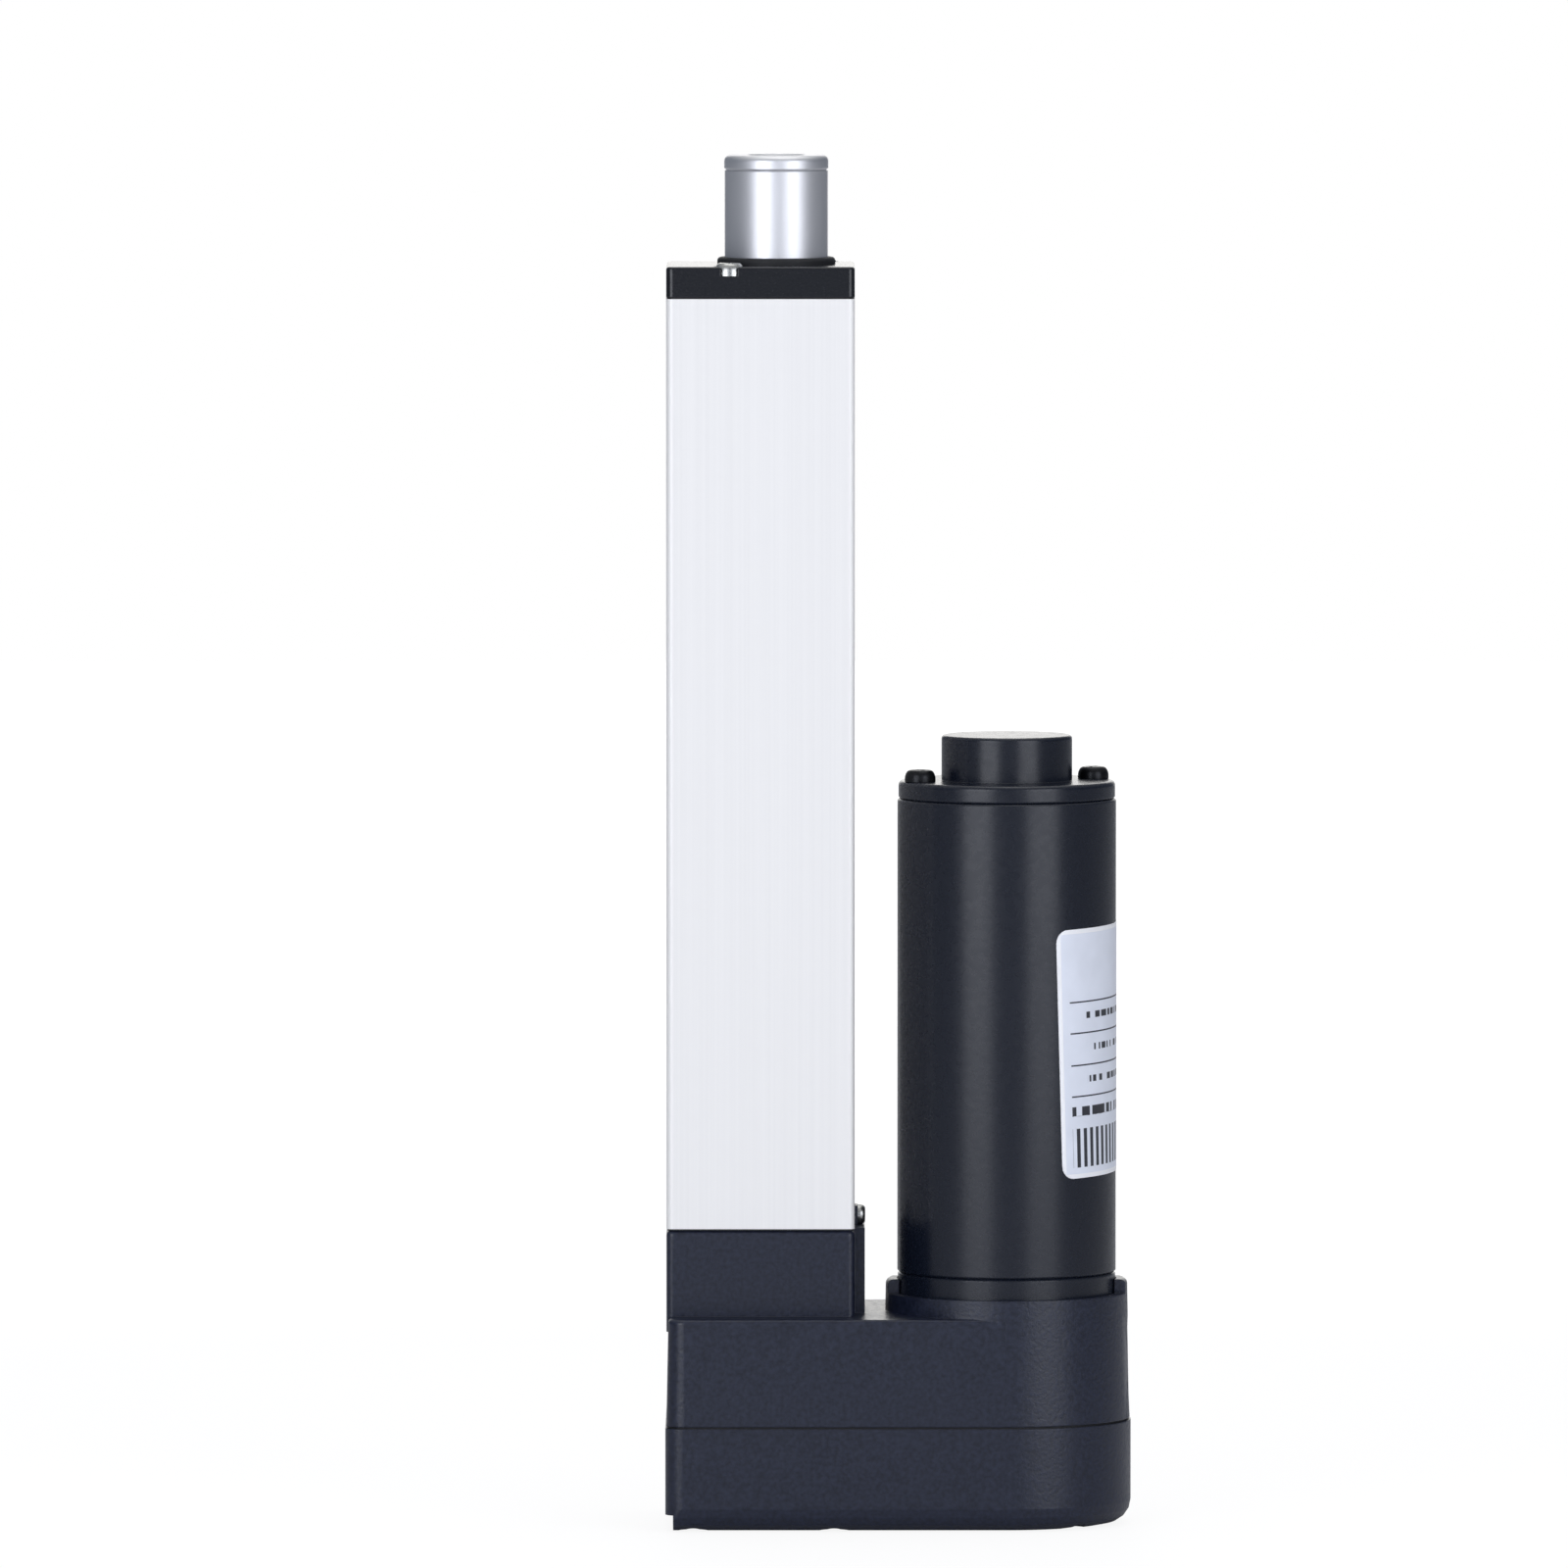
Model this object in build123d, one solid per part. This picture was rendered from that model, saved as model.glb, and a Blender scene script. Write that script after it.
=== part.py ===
from build123d import *

import os
from math import acos, atan2, cos, degrees, pi, radians, sin, tan

# Electric linear actuator with a motor beside the tube.
# Millimetres. Z points up along the rod, X from the lead screw to the motor, Y to the back.
# The origin is on the lead screw's axis, in the plane of the gear housing's bottom face.

# Travel and lead screw
stroke = 150.0
travel_margin = 1.0
screw_radius = 6.0
journal_radius = 4.0
nut_clearance = 0.05
slide_clearance = 0.08
running_clearance = 0.04

# Gear train, the same ratio twice, with all axes in one line
gear_module = 0.8
pinion_teeth = 14
wheel_teeth = 42
pressure_angle = 25.0
gear_backlash = 0.14
wheel_to_bearing = 3.4
wheel_spacing = 1.4
web_hole_count = 6
web_hole_margin = 1.2
lower_wheel_width = 6.6
upper_wheel_width = 6.0
pinion_overlap = 0.8
web_thickness = 2.6
rim_thickness = 1.6
hub_wall = 2.4
wheel_key_width = 2.0
axial_play = 0.05

# Ball bearings, 8 x 22 x 7
bearing_outer_radius = 11.0
bearing_width = 7.0
race_thickness = 1.9
ball_radius = 1.98
ball_count = 7
ball_clearance = 0.07
cage_thickness = 0.8
cage_height = 5.0
bearing_seat_wall = 2.4
retainer_height = 1.0
retainer_overlap = 2.4
circlip_height = 0.8
shoulder_radius = 5.4
shoulder_clearance = 0.8
clip_slot_width = 3.0

# Gear housing
housing_left = 21.3
housing_half = 24.0
housing_wall = 2.4
housing_roof = 3.0
housing_corner = 3.5
inner_corner = 1.5
foot_corner = 1.0
inner_round = 2.4
roof_edge = 1.0
housing_draft = 1.1
housing_height = 20.8
cover_height = 20.4
cover_floor = 3.6
cover_lip = 0.2
cover_round = 4.4
round_steps = 4
rib_thickness = 2.0
low_rib_height = 4.4
foot_step_width = 1.5
foot_step_height = 3.2
gasket_thickness = 0.4
gasket_inset = 0.4
boss_radius = 3.4
boss_sunk = 0.6
cover_screw_radius = 1.5
cover_screw_head_radius = 2.8
cover_screw_head_height = 2.2
cover_screw_grip = 9.0
cover_screw_sunk = 1.4
end_screw_angle = 50.0
screw_hole_clearance = 0.2

# Motor cup on the housing
cup_rim_height = 3.6
lug_height = 2.7
lug_width = 9.0
lug_round = 1.1
motor_clearance = 0.1
motor_gasket_width = 5.5
motor_gasket_margin = 0.3

# Collar under the tube
collar_height = 16.7
collar_edge = 1.0
spigot_height = 3.4
spigot_wall = 1.6
wire_slot_depth = 3.2
wire_slot_half = 4.0
pad_thickness = 2.0
pad_half = 9.0
tab_thickness = 0.6
tab_half = 2.6
tab_height = 3.8
lock_screw_radius = 1.1
lock_screw_head_radius = 1.8
lock_screw_head_height = 1.5

# Extruded tube
tube_left = 21.3
tube_right = 15.2
tube_half = 16.0
tube_corner = 1.3
tube_bore_radius = 13.1
seal_sheet_thickness = 0.3
channel_half = 9.0
channel_wall = 2.0
channel_clearance = 0.3
board_groove = 0.8
port_x = 9.1
port_y = 13.4
port_radius = 1.65
port_clearance = 0.15
tube_screw_length = 28.0
tube_screw_head_radius = 2.8
tube_screw_head_height = 2.4
tube_screw_recess = 1.2

# Nut carriage, rod and rod end
carriage_height = 14.0
carriage_gap = 0.7
nut_neck_height = 10.5
neck_clearance = 0.6
key_depth = 2.2
key_clearance = 0.1
key_margin = 0.6
key_root = 1.0
rod_radius = 10.0
rod_wall = 2.5
rod_seat_depth = 10.0
rod_exposed = 19.8
plug_band_height = 3.0
plug_band_lip = 0.1
plug_depth = 17.0
plug_edge = 1.0
rod_thread_radius = 4.25
rod_thread_depth = 14.0
nut_pin_radius = 1.0
nut_pin_rise = 4.0
screw_overrun = 2.0
tip_guide_height = 5.0
tip_overhang = 0.6

# Head end
bush_height = 11.6
cap_height = 5.9
cap_edge = 0.6
cap_clearance = 0.3
seal_height = 2.4
seal_thickness = 2.4
seal_lip_depth = 1.2
bush_groove = 0.8
bush_groove_half = 2.0
wiper_radius = 11.45
wiper_height = 2.8
wiper_sunk = 1.4
cap_screw_head_radius = 2.85
cap_screw_head_height = 2.5
cap_screw_sunk = 1.8
cap_screw_length = 16.0

# Limit switches
board_thickness = 1.2
board_clearance = 0.1
board_end_gap = 1.5
switch_width = 4.6
switch_depth = 3.0
switch_height = 7.0
switch_button = 0.5
striker_depth = 2.2
striker_half = 2.0
striker_end = 2.0

# Rear mount
insert_radius = 8.0
insert_flange_radius = 10.6
insert_flange_height = 2.6
insert_height = 11.6
rear_thread_radius = 4.25
rear_thread_depth = 10.0

# Idler
idler_pin_radius = 2.5
idler_bush_wall = 1.0
idler_hub_radius = 4.4
idler_washer_height = 0.5
idler_boss_radius = 5.0
idler_pin_sunk = 2.0

# Motor
motor_radius = 21.25
motor_length = 103.3
motor_wall = 1.6
bell_height = 7.2
bell_inset = 0.1
bell_floor = 3.0
bell_spigot = 2.0
spigot_ring = 1.6
bell_boss_radius = 3.2
rim_break = 0.35
end_cap_height = 3.5
end_cap_inset = 0.2
end_cap_spigot = 5.0
end_cap_round = 0.9
boss_cap_round = 0.7
boss_cap_radius = 12.7
boss_cap_height = 8.8
motor_shaft_radius = 2.5
shaft_end = 0.4
rear_bush_reach = 3.5
shaft_clearance = 0.5
shaft_bevel = 0.3
motor_bush_radius = 5.0
motor_bush_height = 6.0
motor_bush_wall = 2.2
rear_bush_sunk = 2.0
front_bush_rise = 1.0
pilot_radius = 7.0
pilot_clearance = 0.1
armature_radius = 15.8
armature_length = 48.0
armature_slots = 12
armature_base = 22.0
slot_opening = 1.4
slot_depth = 6.2
slot_radius = 1.7
winding_radius = 13.6
winding_height = 8.0
winding_bevel = 3.0
winding_bore_gap = 1.5
magnet_gap = 0.6
magnet_half_angle = 62.0
magnet_length = 54.0
bolt_circle_radius = 17.75
bolt_angle = 18.0
bolt_radius = 1.5
bolt_head_radius = 3.0
bolt_head_height = 2.3
mount_screw_circle = 12.5
mount_screw_length = 8.0
mount_screw_angle = 90.0
bolt_end_gap = 2.0
commutator_radius = 6.5
commutator_length = 12.0
commutator_bars = 12
commutator_gap = 1.5
bar_gap = 0.4
bar_depth = 1.2
brush_width = 4.0
brush_length = 7.0
brush_height = 6.0
brush_clearance = 0.1
holder_thickness = 2.0
holder_bore = 9.0
brush_guide_wall = 1.2
holder_gap = 1.0
spring_thickness = 0.4
spring_length = 2.6
spring_margin = 1.0

# Cable inlet at the back
gland_x = 22.4
gland_radius = 4.6
gland_length = 7.0
gland_bore_radius = 2.6
gland_neck_radius = 4.0
gland_nut_radius = 5.6
gland_nut_height = 2.0
gland_inner_ring = 1.6
gland_round = 1.2

# Axes and levels worked out from the sizes above
stage_distance = gear_module * (pinion_teeth + wheel_teeth) / 2
idler_x = stage_distance
motor_x = 2 * stage_distance
seam_z = cover_height
housing_top = seam_z + housing_height
ceiling_z = housing_top - housing_roof
collar_top = housing_top + collar_height
cup_rim_z = housing_top + cup_rim_height
lug_z = cup_rim_z + lug_height
cup_bore_radius = motor_radius + motor_clearance

lower_bearing_z = insert_height
wheel_z = lower_bearing_z + bearing_width + wheel_to_bearing
wheel_top = wheel_z + lower_wheel_width
upper_wheel_z = wheel_top + wheel_spacing
upper_wheel_top = upper_wheel_z + upper_wheel_width
idler_low = wheel_z - pinion_overlap
idler_pin_low = cover_floor + idler_pin_sunk
idler_pin_high = ceiling_z + idler_pin_sunk
screw_foot_z = lower_bearing_z + 0.4
upper_bearing_z = housing_top + circlip_height
upper_bearing_top = upper_bearing_z + bearing_width

tube_low = collar_top + seal_sheet_thickness
spigot_top = collar_top + spigot_height
spigot_radius = tube_bore_radius - motor_clearance
spigot_bore = spigot_radius - spigot_wall
carriage_low = spigot_top + carriage_gap
carriage_high = carriage_low + carriage_height
bush_low = carriage_high + stroke + travel_margin
tube_high = bush_low + bush_height
cap_low = tube_high + seal_sheet_thickness
cap_high = cap_low + cap_height
wiper_high = cap_high + wiper_height - wiper_sunk
rod_high = wiper_high + rod_exposed
rod_low = carriage_high - rod_seat_depth
nut_low = carriage_low - nut_neck_height
screw_high = carriage_high + stroke + screw_overrun

motor_low = housing_top + gasket_thickness
bell_high = motor_low + bell_height
motor_high = housing_top + motor_length
can_high = motor_high - end_cap_height
armature_low = motor_low + armature_base
armature_high = armature_low + armature_length
commutator_low = armature_high + winding_height + commutator_gap
commutator_high = commutator_low + commutator_length
holder_z = commutator_low + holder_gap
pinion_low = upper_wheel_z - pinion_overlap
shaft_low = pinion_low - shaft_end
shaft_high = motor_high + rear_bush_reach

STANDING = (Align.CENTER, Align.CENTER, Align.MIN)
CORNER = (Align.MIN, Align.MIN, Align.MIN)


def bar(x, y, low, high, radius):
    """Round bar along Z."""
    return Pos(x, y, low) * Cylinder(radius, high - low, align=STANDING)


def sleeve(x, y, low, high, outer, inner):
    """Round bar along Z with a bore right through."""
    return bar(x, y, low, high, outer) - bar(x, y, low, high, inner)


def block(x_low, x_high, y_low, y_high, low, high):
    """Straight block between two corners."""
    size = (x_high - x_low, y_high - y_low, high - low)
    return Pos(x_low, y_low, low) * Box(*size, align=CORNER)


def turned(section):
    """Ring about the lead screw's axis; the section's x is the radius and its y the height."""
    return revolve(Plane.XZ * section, Axis.Z)


def raised(section, low, high, x=0.0, y=0.0, taper=0.0):
    """Flat section raised between two levels."""
    return Pos(x, y, low) * extrude(section, high - low, taper=taper)


def housing_plan(inset, corner, left_inset=None):
    """Outline of the gear housing: square below the tube, round about the motor's axis."""
    half = housing_half - inset
    left = housing_left - (inset if left_inset is None else left_inset)
    square = Pos((motor_x - left) / 2, 0) * Rectangle(motor_x + left, 2 * half)
    outline = square + Pos(motor_x, 0) * Circle(half)
    return fillet(outline.vertices().sort_by(Axis.X)[:2], corner)


def rounded_below(plan, inset, left_inset, low, high, radius):
    """Raised plan whose bottom edge is rounded by a stack of widening slabs, apart from the left."""
    rounded = block(-2 * housing_half, motor_x + 2 * housing_half, -2 * housing_half,
                    2 * housing_half, low + radius, high)
    angles = [pi / 2 * step / round_steps for step in range(round_steps + 1)]
    levels = [low + radius * (1 - cos(angle)) for angle in angles]
    insets = [inset + radius * (1 - sin(angle)) for angle in angles]
    for step in range(round_steps):
        rise = levels[step + 1] - levels[step]
        lean = degrees(atan2(insets[step] - insets[step + 1], rise))
        foot = housing_plan(insets[step], foot_corner + inset + radius - insets[step], left_inset)
        rounded += raised(foot, levels[step], levels[step + 1], taper=-lean)
    return raised(plan, low, high) & rounded


def tube_plan(inset=0.0):
    """Outline of the tube, which the collar and the head cap share."""
    width = tube_left + tube_right - 2 * inset
    centre = (tube_right - tube_left) / 2
    return Pos(centre, 0) * RectangleRounded(width, 2 * (tube_half - inset), tube_corner)


def channel_plan():
    """Inside of the tube: round bore and switch channel."""
    channel = Pos(-tube_left + channel_wall, 0) * Rectangle(
        tube_left - channel_wall, 2 * channel_half, align=(Align.MIN, Align.CENTER)
    )
    return Circle(tube_bore_radius) + channel


def cover_screw_places():
    """Six screws join the cover and the housing, outside the sweep of both wheels."""
    reach = housing_half - housing_wall - boss_radius + boss_sunk
    left = -(housing_left - housing_wall - boss_radius + boss_sunk)
    end_angle = radians(end_screw_angle)
    end_reach = reach + 0.2
    end_x = motor_x + end_reach * cos(end_angle)
    end_y = end_reach * sin(end_angle)
    rows = ((left, reach), (idler_x / 2, reach), (end_x, end_y))
    return [(x, side * y) for x, y in rows for side in (-1, 1)]


def port_places():
    """Four screw ports in the tube's corners."""
    return [(x, y) for x in (-port_x, port_x) for y in (-port_y, port_y)]


def head_screw_places():
    """Two of the ports take the head cap's screws, crosswise."""
    return [(-port_x, -port_y), (port_x, port_y)]


def bolt_places(circle, angle):
    """Two opposite places about the motor's axis."""
    step = radians(angle)
    return [(motor_x + side * circle * cos(step), side * circle * sin(step)) for side in (-1, 1)]


def involute(angle):
    """Involute function of an angle in radians."""
    return tan(angle) - angle


def gear_section(teeth, phase):
    """Spur gear outline with involute flanks; one tooth points along the phase angle."""
    pitch = gear_module * teeth / 2
    base = pitch * cos(radians(pressure_angle))
    tip = pitch + gear_module
    root = pitch - 1.25 * gear_module
    foot = max(base, root)
    half_tooth = pi / (2 * teeth) - gear_backlash / (4 * pitch) + involute(radians(pressure_angle))

    def place(radius, angle):
        return (radius * cos(angle), radius * sin(angle))

    def spread(radius):
        return half_tooth - involute(acos(min(1.0, base / radius)))

    levels = (foot, (foot + tip) / 2, tip)
    edges = []
    for tooth in range(teeth):
        centre = phase + 2 * pi * tooth / teeth
        after = centre + 2 * pi / teeth
        rising = [place(radius, centre - spread(radius)) for radius in levels]
        falling = [place(radius, centre + spread(radius)) for radius in reversed(levels)]
        edges.append(ThreePointArc(*rising))
        edges.append(ThreePointArc(rising[-1], place(tip, centre), falling[0]))
        edges.append(ThreePointArc(*falling))
        leave = centre + spread(foot)
        arrive = after - spread(foot)
        if foot > root:
            edges.append(Line(falling[-1], place(root, leave)))
            edges.append(Line(place(root, arrive), place(foot, arrive)))
        middle = place(root, (leave + arrive) / 2)
        edges.append(ThreePointArc(place(root, leave), middle, place(root, arrive)))
    return make_face(edges)


def gear_root(teeth):
    """Radius at the foot of the teeth."""
    return gear_module * (teeth / 2 - 1.25)


def wheel(x, low, high, bore, hub_radius, hub_low, hub_high):
    """Large gear with a thin web, round lightening holes, a rim and a hub."""
    solid = raised(gear_section(wheel_teeth, 0.0), low, high, x)
    rim = gear_root(wheel_teeth) - rim_thickness
    recess = (high - low - web_thickness) / 2
    solid -= sleeve(x, 0, low, low + recess, rim, hub_radius)
    solid -= sleeve(x, 0, high - recess, high, rim, hub_radius)
    hole_reach = (rim + hub_radius) / 2
    hole_radius = (rim - hub_radius) / 2 - web_hole_margin
    for index in range(web_hole_count):
        angle = 2 * pi * (index + 0.5) / web_hole_count
        solid -= bar(x + hole_reach * cos(angle), hole_reach * sin(angle), low, high, hole_radius)
    solid += bar(x, 0, hub_low, hub_high, hub_radius)
    return solid - bar(x, 0, hub_low, hub_high, bore)


def make_lower_cover():
    """Lower half of the gear housing with its screw posts, bearing seat and mount seat."""
    left_face = -housing_left - cover_lip
    outline = housing_plan(-cover_lip, housing_corner)
    joint_z = seam_z - gasket_thickness
    shell = rounded_below(outline, -cover_lip, -2 * cover_round, 0, joint_z, cover_round)
    inside = housing_plan(housing_wall, inner_corner)
    shell -= rounded_below(inside, housing_wall, housing_wall, cover_floor, seam_z, inner_round)
    step = left_face + foot_step_width
    shell -= block(left_face - 1, step, -housing_half - 1, housing_half + 1, -1, foot_step_height)

    seat = bearing_outer_radius + bearing_seat_wall
    wall = housing_half - housing_wall
    half = rib_thickness / 2
    low_rib = cover_floor + low_rib_height
    shell += bar(0, 0, cover_floor, lower_bearing_z + bearing_width, seat)
    shell += block(-half, half, -wall, -seat, cover_floor, lower_bearing_z)
    shell += block(-half, half, seat, wall, cover_floor, lower_bearing_z)
    shell += block(seat - half, idler_x, -half, half, cover_floor, lower_bearing_z)
    shell += block(idler_x, motor_x + wall, -half, half, cover_floor, low_rib)
    shell -= bar(0, 0, lower_bearing_z, seam_z, bearing_outer_radius)
    shell -= bar(0, 0, insert_height - insert_flange_height, insert_height, insert_flange_radius)
    shell -= bar(0, 0, 0, insert_height, insert_radius)

    idler_boss_top = idler_low - axial_play - idler_washer_height
    shell += bar(idler_x, 0, cover_floor, idler_boss_top, idler_boss_radius)
    shell -= bar(idler_x, 0, idler_pin_low, idler_boss_top, idler_pin_radius)

    for x, y in cover_screw_places():
        post = bar(x, y, cover_floor, seam_z - gasket_thickness, boss_radius)
        shell += post & raised(housing_plan(0.5, inner_corner), 0, seam_z)
        shell -= bar(x, y, 0, seam_z, cover_screw_radius + screw_hole_clearance)
        recess = cover_screw_head_height + cover_screw_sunk
        shell -= bar(x, y, 0, recess, cover_screw_head_radius + screw_hole_clearance)
    return shell


def make_upper_housing():
    """Upper half of the gear housing with the motor cup and the tube's collar."""
    shell = raised(housing_plan(0, housing_corner), seam_z, housing_top, taper=housing_draft)
    shell = fillet(shell.edges().group_by(Axis.Z)[-1], roof_edge)
    cup = raised(Circle(housing_half), seam_z, lug_z, motor_x, taper=housing_draft)
    cup = fillet(cup.edges().group_by(Axis.Z)[-1], lug_round)
    left = motor_x - housing_half - 1
    right = motor_x + housing_half + 1
    lugs = block(left, right, -lug_width / 2, lug_width / 2, cup_rim_z, lug_z)
    rim = block(left, right, -housing_half - 1, housing_half + 1, seam_z, cup_rim_z)
    shell += cup & (lugs + rim)
    collar = raised(tube_plan(), housing_top - housing_roof, collar_top)
    shell += fillet(collar.edges().group_by(Axis.Z)[-1], collar_edge)
    pad_right = tube_right + pad_thickness
    shell += block(tube_right - 1, pad_right, -pad_half, pad_half, ceiling_z, collar_top)
    tab_top = collar_top + tab_height
    tab = block(tube_right, tube_right + tab_thickness, -tab_half, tab_half, collar_top, tab_top)
    shell += tab + bar(0, 0, collar_top, spigot_top, spigot_radius)

    shell -= raised(housing_plan(housing_wall, inner_corner), seam_z, ceiling_z)
    for x, y in cover_screw_places():
        post = bar(x, y, seam_z, ceiling_z, boss_radius)
        shell += post & raised(housing_plan(1.0, inner_corner), seam_z, ceiling_z)
        shell -= bar(x, y, seam_z, seam_z + cover_screw_grip + 1, cover_screw_radius)

    idler_boss_low = upper_wheel_top + axial_play + idler_washer_height
    shell += bar(idler_x, 0, idler_boss_low, ceiling_z, idler_boss_radius)
    shell -= bar(idler_x, 0, idler_boss_low, idler_pin_high, idler_pin_radius)

    shell -= bar(0, 0, ceiling_z, upper_bearing_z, shoulder_radius + shoulder_clearance)
    shell -= bar(0, 0, upper_bearing_z, upper_bearing_top, bearing_outer_radius)
    shell -= bar(0, 0, upper_bearing_top, spigot_top, spigot_bore)
    wire_left = board_left()
    wire_right = wire_left + wire_slot_depth
    shell -= block(wire_left, wire_right, -wire_slot_half, wire_slot_half, seam_z, collar_top)
    recess = ceiling_z + tube_screw_recess
    head_low = recess - tube_screw_head_height - screw_hole_clearance
    for x, y in port_places():
        shell -= bar(x, y, head_low, recess, tube_screw_head_radius + screw_hole_clearance)
        shell -= bar(x, y, ceiling_z, collar_top, port_radius + port_clearance)

    shell -= bar(motor_x, 0, housing_top, lug_z + 1, cup_bore_radius)
    shell -= bar(motor_x, 0, ceiling_z, housing_top, pilot_radius + pilot_clearance)
    for x, y in bolt_places(mount_screw_circle, mount_screw_angle):
        shell -= bar(x, y, ceiling_z, housing_top, bolt_radius + screw_hole_clearance)

    lock_z = collar_top + tab_height / 2
    shell -= lock_screw_shape(lock_z, lock_screw_radius, tube_right + tab_thickness)
    gland_z = (seam_z + housing_top) / 2
    shell -= gland_bar(gland_z, housing_half - housing_wall - 1, housing_half + 1, gland_neck_radius)
    return shell


def lock_screw_shape(height, radius, reach):
    """Round bar along X from inside the spigot out to the given reach."""
    start = spigot_bore + 0.4
    return Pos(start, 0, height) * Rot(0, 90, 0) * Cylinder(radius, reach - start, align=STANDING)


def gland_bar(height, y_low, y_high, radius):
    """Round bar along Y through the back wall."""
    turn = Rot(-90, 0, 0)
    return Pos(gland_x, y_low, height) * turn * Cylinder(radius, y_high - y_low, align=STANDING)


def make_cable_gland():
    """Gland in the back wall: thin neck, clamped by a hexagon outside and a ring inside."""
    height = (seam_z + housing_top) / 2
    outside = housing_half + 0.05
    inside = housing_half - housing_wall - gland_inner_ring
    body = gland_bar(height, inside, outside, gland_neck_radius)
    turn = Rot(-90, 0, 0)
    hexagon = raised(RegularPolygon(gland_nut_radius, 6), 0, gland_nut_height)
    body += Pos(gland_x, outside, height) * turn * hexagon
    dome_end = outside + gland_length
    body += gland_bar(height, outside + gland_nut_height, dome_end, gland_radius)
    body = fillet(body.edges().group_by(Axis.Y)[-1], gland_round)
    return body - gland_bar(height, 0, dome_end + 1, gland_bore_radius)


def make_housing_gasket():
    """Flat gasket in the seam, set back so that the joint shows as a dark line."""
    outside = housing_plan(gasket_inset, housing_corner)
    inside = housing_plan(housing_wall, inner_corner)
    sheet = raised(outside - inside, seam_z - gasket_thickness, seam_z)
    for x, y in cover_screw_places():
        ear = bar(x, y, seam_z - gasket_thickness, seam_z, boss_radius)
        sheet += ear & raised(outside, seam_z - gasket_thickness, seam_z)
        sheet -= bar(x, y, seam_z - gasket_thickness, seam_z, cover_screw_radius + 0.1)
    return sheet


def pan_screw(x, y, seat, head_radius, head_height, radius, length, upward):
    """Pan head screw along Z; the shank leaves the seat on the side away from the head."""
    way = 1 if upward else -1
    head_end = seat - way * head_height
    head = bar(x, y, min(seat, head_end), max(seat, head_end), head_radius)
    outer = head.edges().group_by(Axis.Z)[0 if upward else -1]
    head = chamfer(outer, head_height * 0.3)
    shank_end = seat + way * length
    return head + bar(x, y, min(seat, shank_end), max(seat, shank_end), radius)


def make_cover_screws():
    """Six screws from below, heads in round recesses."""
    seat = cover_screw_head_height + cover_screw_sunk
    length = seam_z + cover_screw_grip - seat
    screws = [
        pan_screw(x, y, seat, cover_screw_head_radius, cover_screw_head_height,
                  cover_screw_radius, length, True)
        for x, y in cover_screw_places()
    ]
    return Compound(screws)


def make_tube_screws():
    """Four screws from inside the gear housing up into the tube's ports."""
    seat = ceiling_z + tube_screw_recess
    screws = [
        pan_screw(x, y, seat, tube_screw_head_radius, tube_screw_head_height,
                  port_radius, tube_screw_length, True)
        for x, y in port_places()
    ]
    return Compound(screws)


def make_head_cap_screws():
    """Two pan head screws that stand partly in notches of the head cap's long edges."""
    seat = cap_high - cap_screw_sunk
    screws = [
        pan_screw(x, y, seat, cap_screw_head_radius, cap_screw_head_height,
                  port_radius, cap_screw_length, False)
        for x, y in head_screw_places()
    ]
    return Compound(screws)


def make_motor_mount_screws():
    """Two screws from the gear housing up into the motor's end bell."""
    screws = [
        pan_screw(x, y, ceiling_z, bolt_head_radius, bolt_head_height,
                  bolt_radius, mount_screw_length, True)
        for x, y in bolt_places(mount_screw_circle, mount_screw_angle)
    ]
    return Compound(screws)


def make_motor_through_bolts():
    """Two long bolts that clamp the end cap, the can and the end bell together."""
    length = motor_high - motor_low - bolt_end_gap
    bolts = [
        pan_screw(x, y, motor_high, bolt_head_radius, bolt_head_height,
                  bolt_radius, length, False)
        for x, y in bolt_places(bolt_circle_radius, bolt_angle)
    ]
    return Compound(bolts)


def make_tube_lock_screw():
    """Small screw through the tab and the tube's wall into the spigot."""
    height = collar_top + tab_height / 2
    seat = tube_right + tab_thickness
    shank = lock_screw_shape(height, lock_screw_radius, seat)
    head = Pos(seat, 0, height) * Rot(0, 90, 0) * Cylinder(
        lock_screw_head_radius, lock_screw_head_height, align=STANDING
    )
    return shank + chamfer(head.edges().group_by(Axis.X)[-1], lock_screw_head_height * 0.3)


def make_rear_mount_insert():
    """Flanged steel insert with the rear mounting thread."""
    body = bar(0, 0, 0, insert_height, insert_radius)
    body += bar(0, 0, insert_height - insert_flange_height, insert_height, insert_flange_radius)
    return body - bar(0, 0, 0, rear_thread_depth, rear_thread_radius)


def race_sections(low):
    """Sections of a ball bearing's inner and outer rings, each with its ball groove."""
    middle = low + bearing_width / 2
    pitch = (journal_radius + bearing_outer_radius) / 2
    groove = Pos(pitch, middle) * Circle(ball_radius + ball_clearance)
    ring = Rectangle(race_thickness, bearing_width)
    inner = Pos(journal_radius + race_thickness / 2, middle) * ring
    outer = Pos(bearing_outer_radius - race_thickness / 2, middle) * ring
    return inner - groove, outer - groove


def make_ball_set(low):
    """Balls in their cage, which turn together at their own rate."""
    middle = low + bearing_width / 2
    pitch = (journal_radius + bearing_outer_radius) / 2
    half = cage_thickness / 2
    cage_low = middle - cage_height / 2
    cage = sleeve(0, 0, cage_low, cage_low + cage_height, pitch + half, pitch - half)
    balls = []
    for index in range(ball_count):
        turn = Pos(0, 0, middle) * Rot(0, 0, 360 * index / ball_count)
        pocket = Rot(0, 90, 0) * Cylinder(ball_radius + ball_clearance, 4 * cage_thickness)
        cage -= turn * Pos(pitch, 0, 0) * pocket
        balls.append(turn * Pos(pitch, 0, 0) * Sphere(ball_radius))
    return Compound([cage] + balls)


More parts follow.
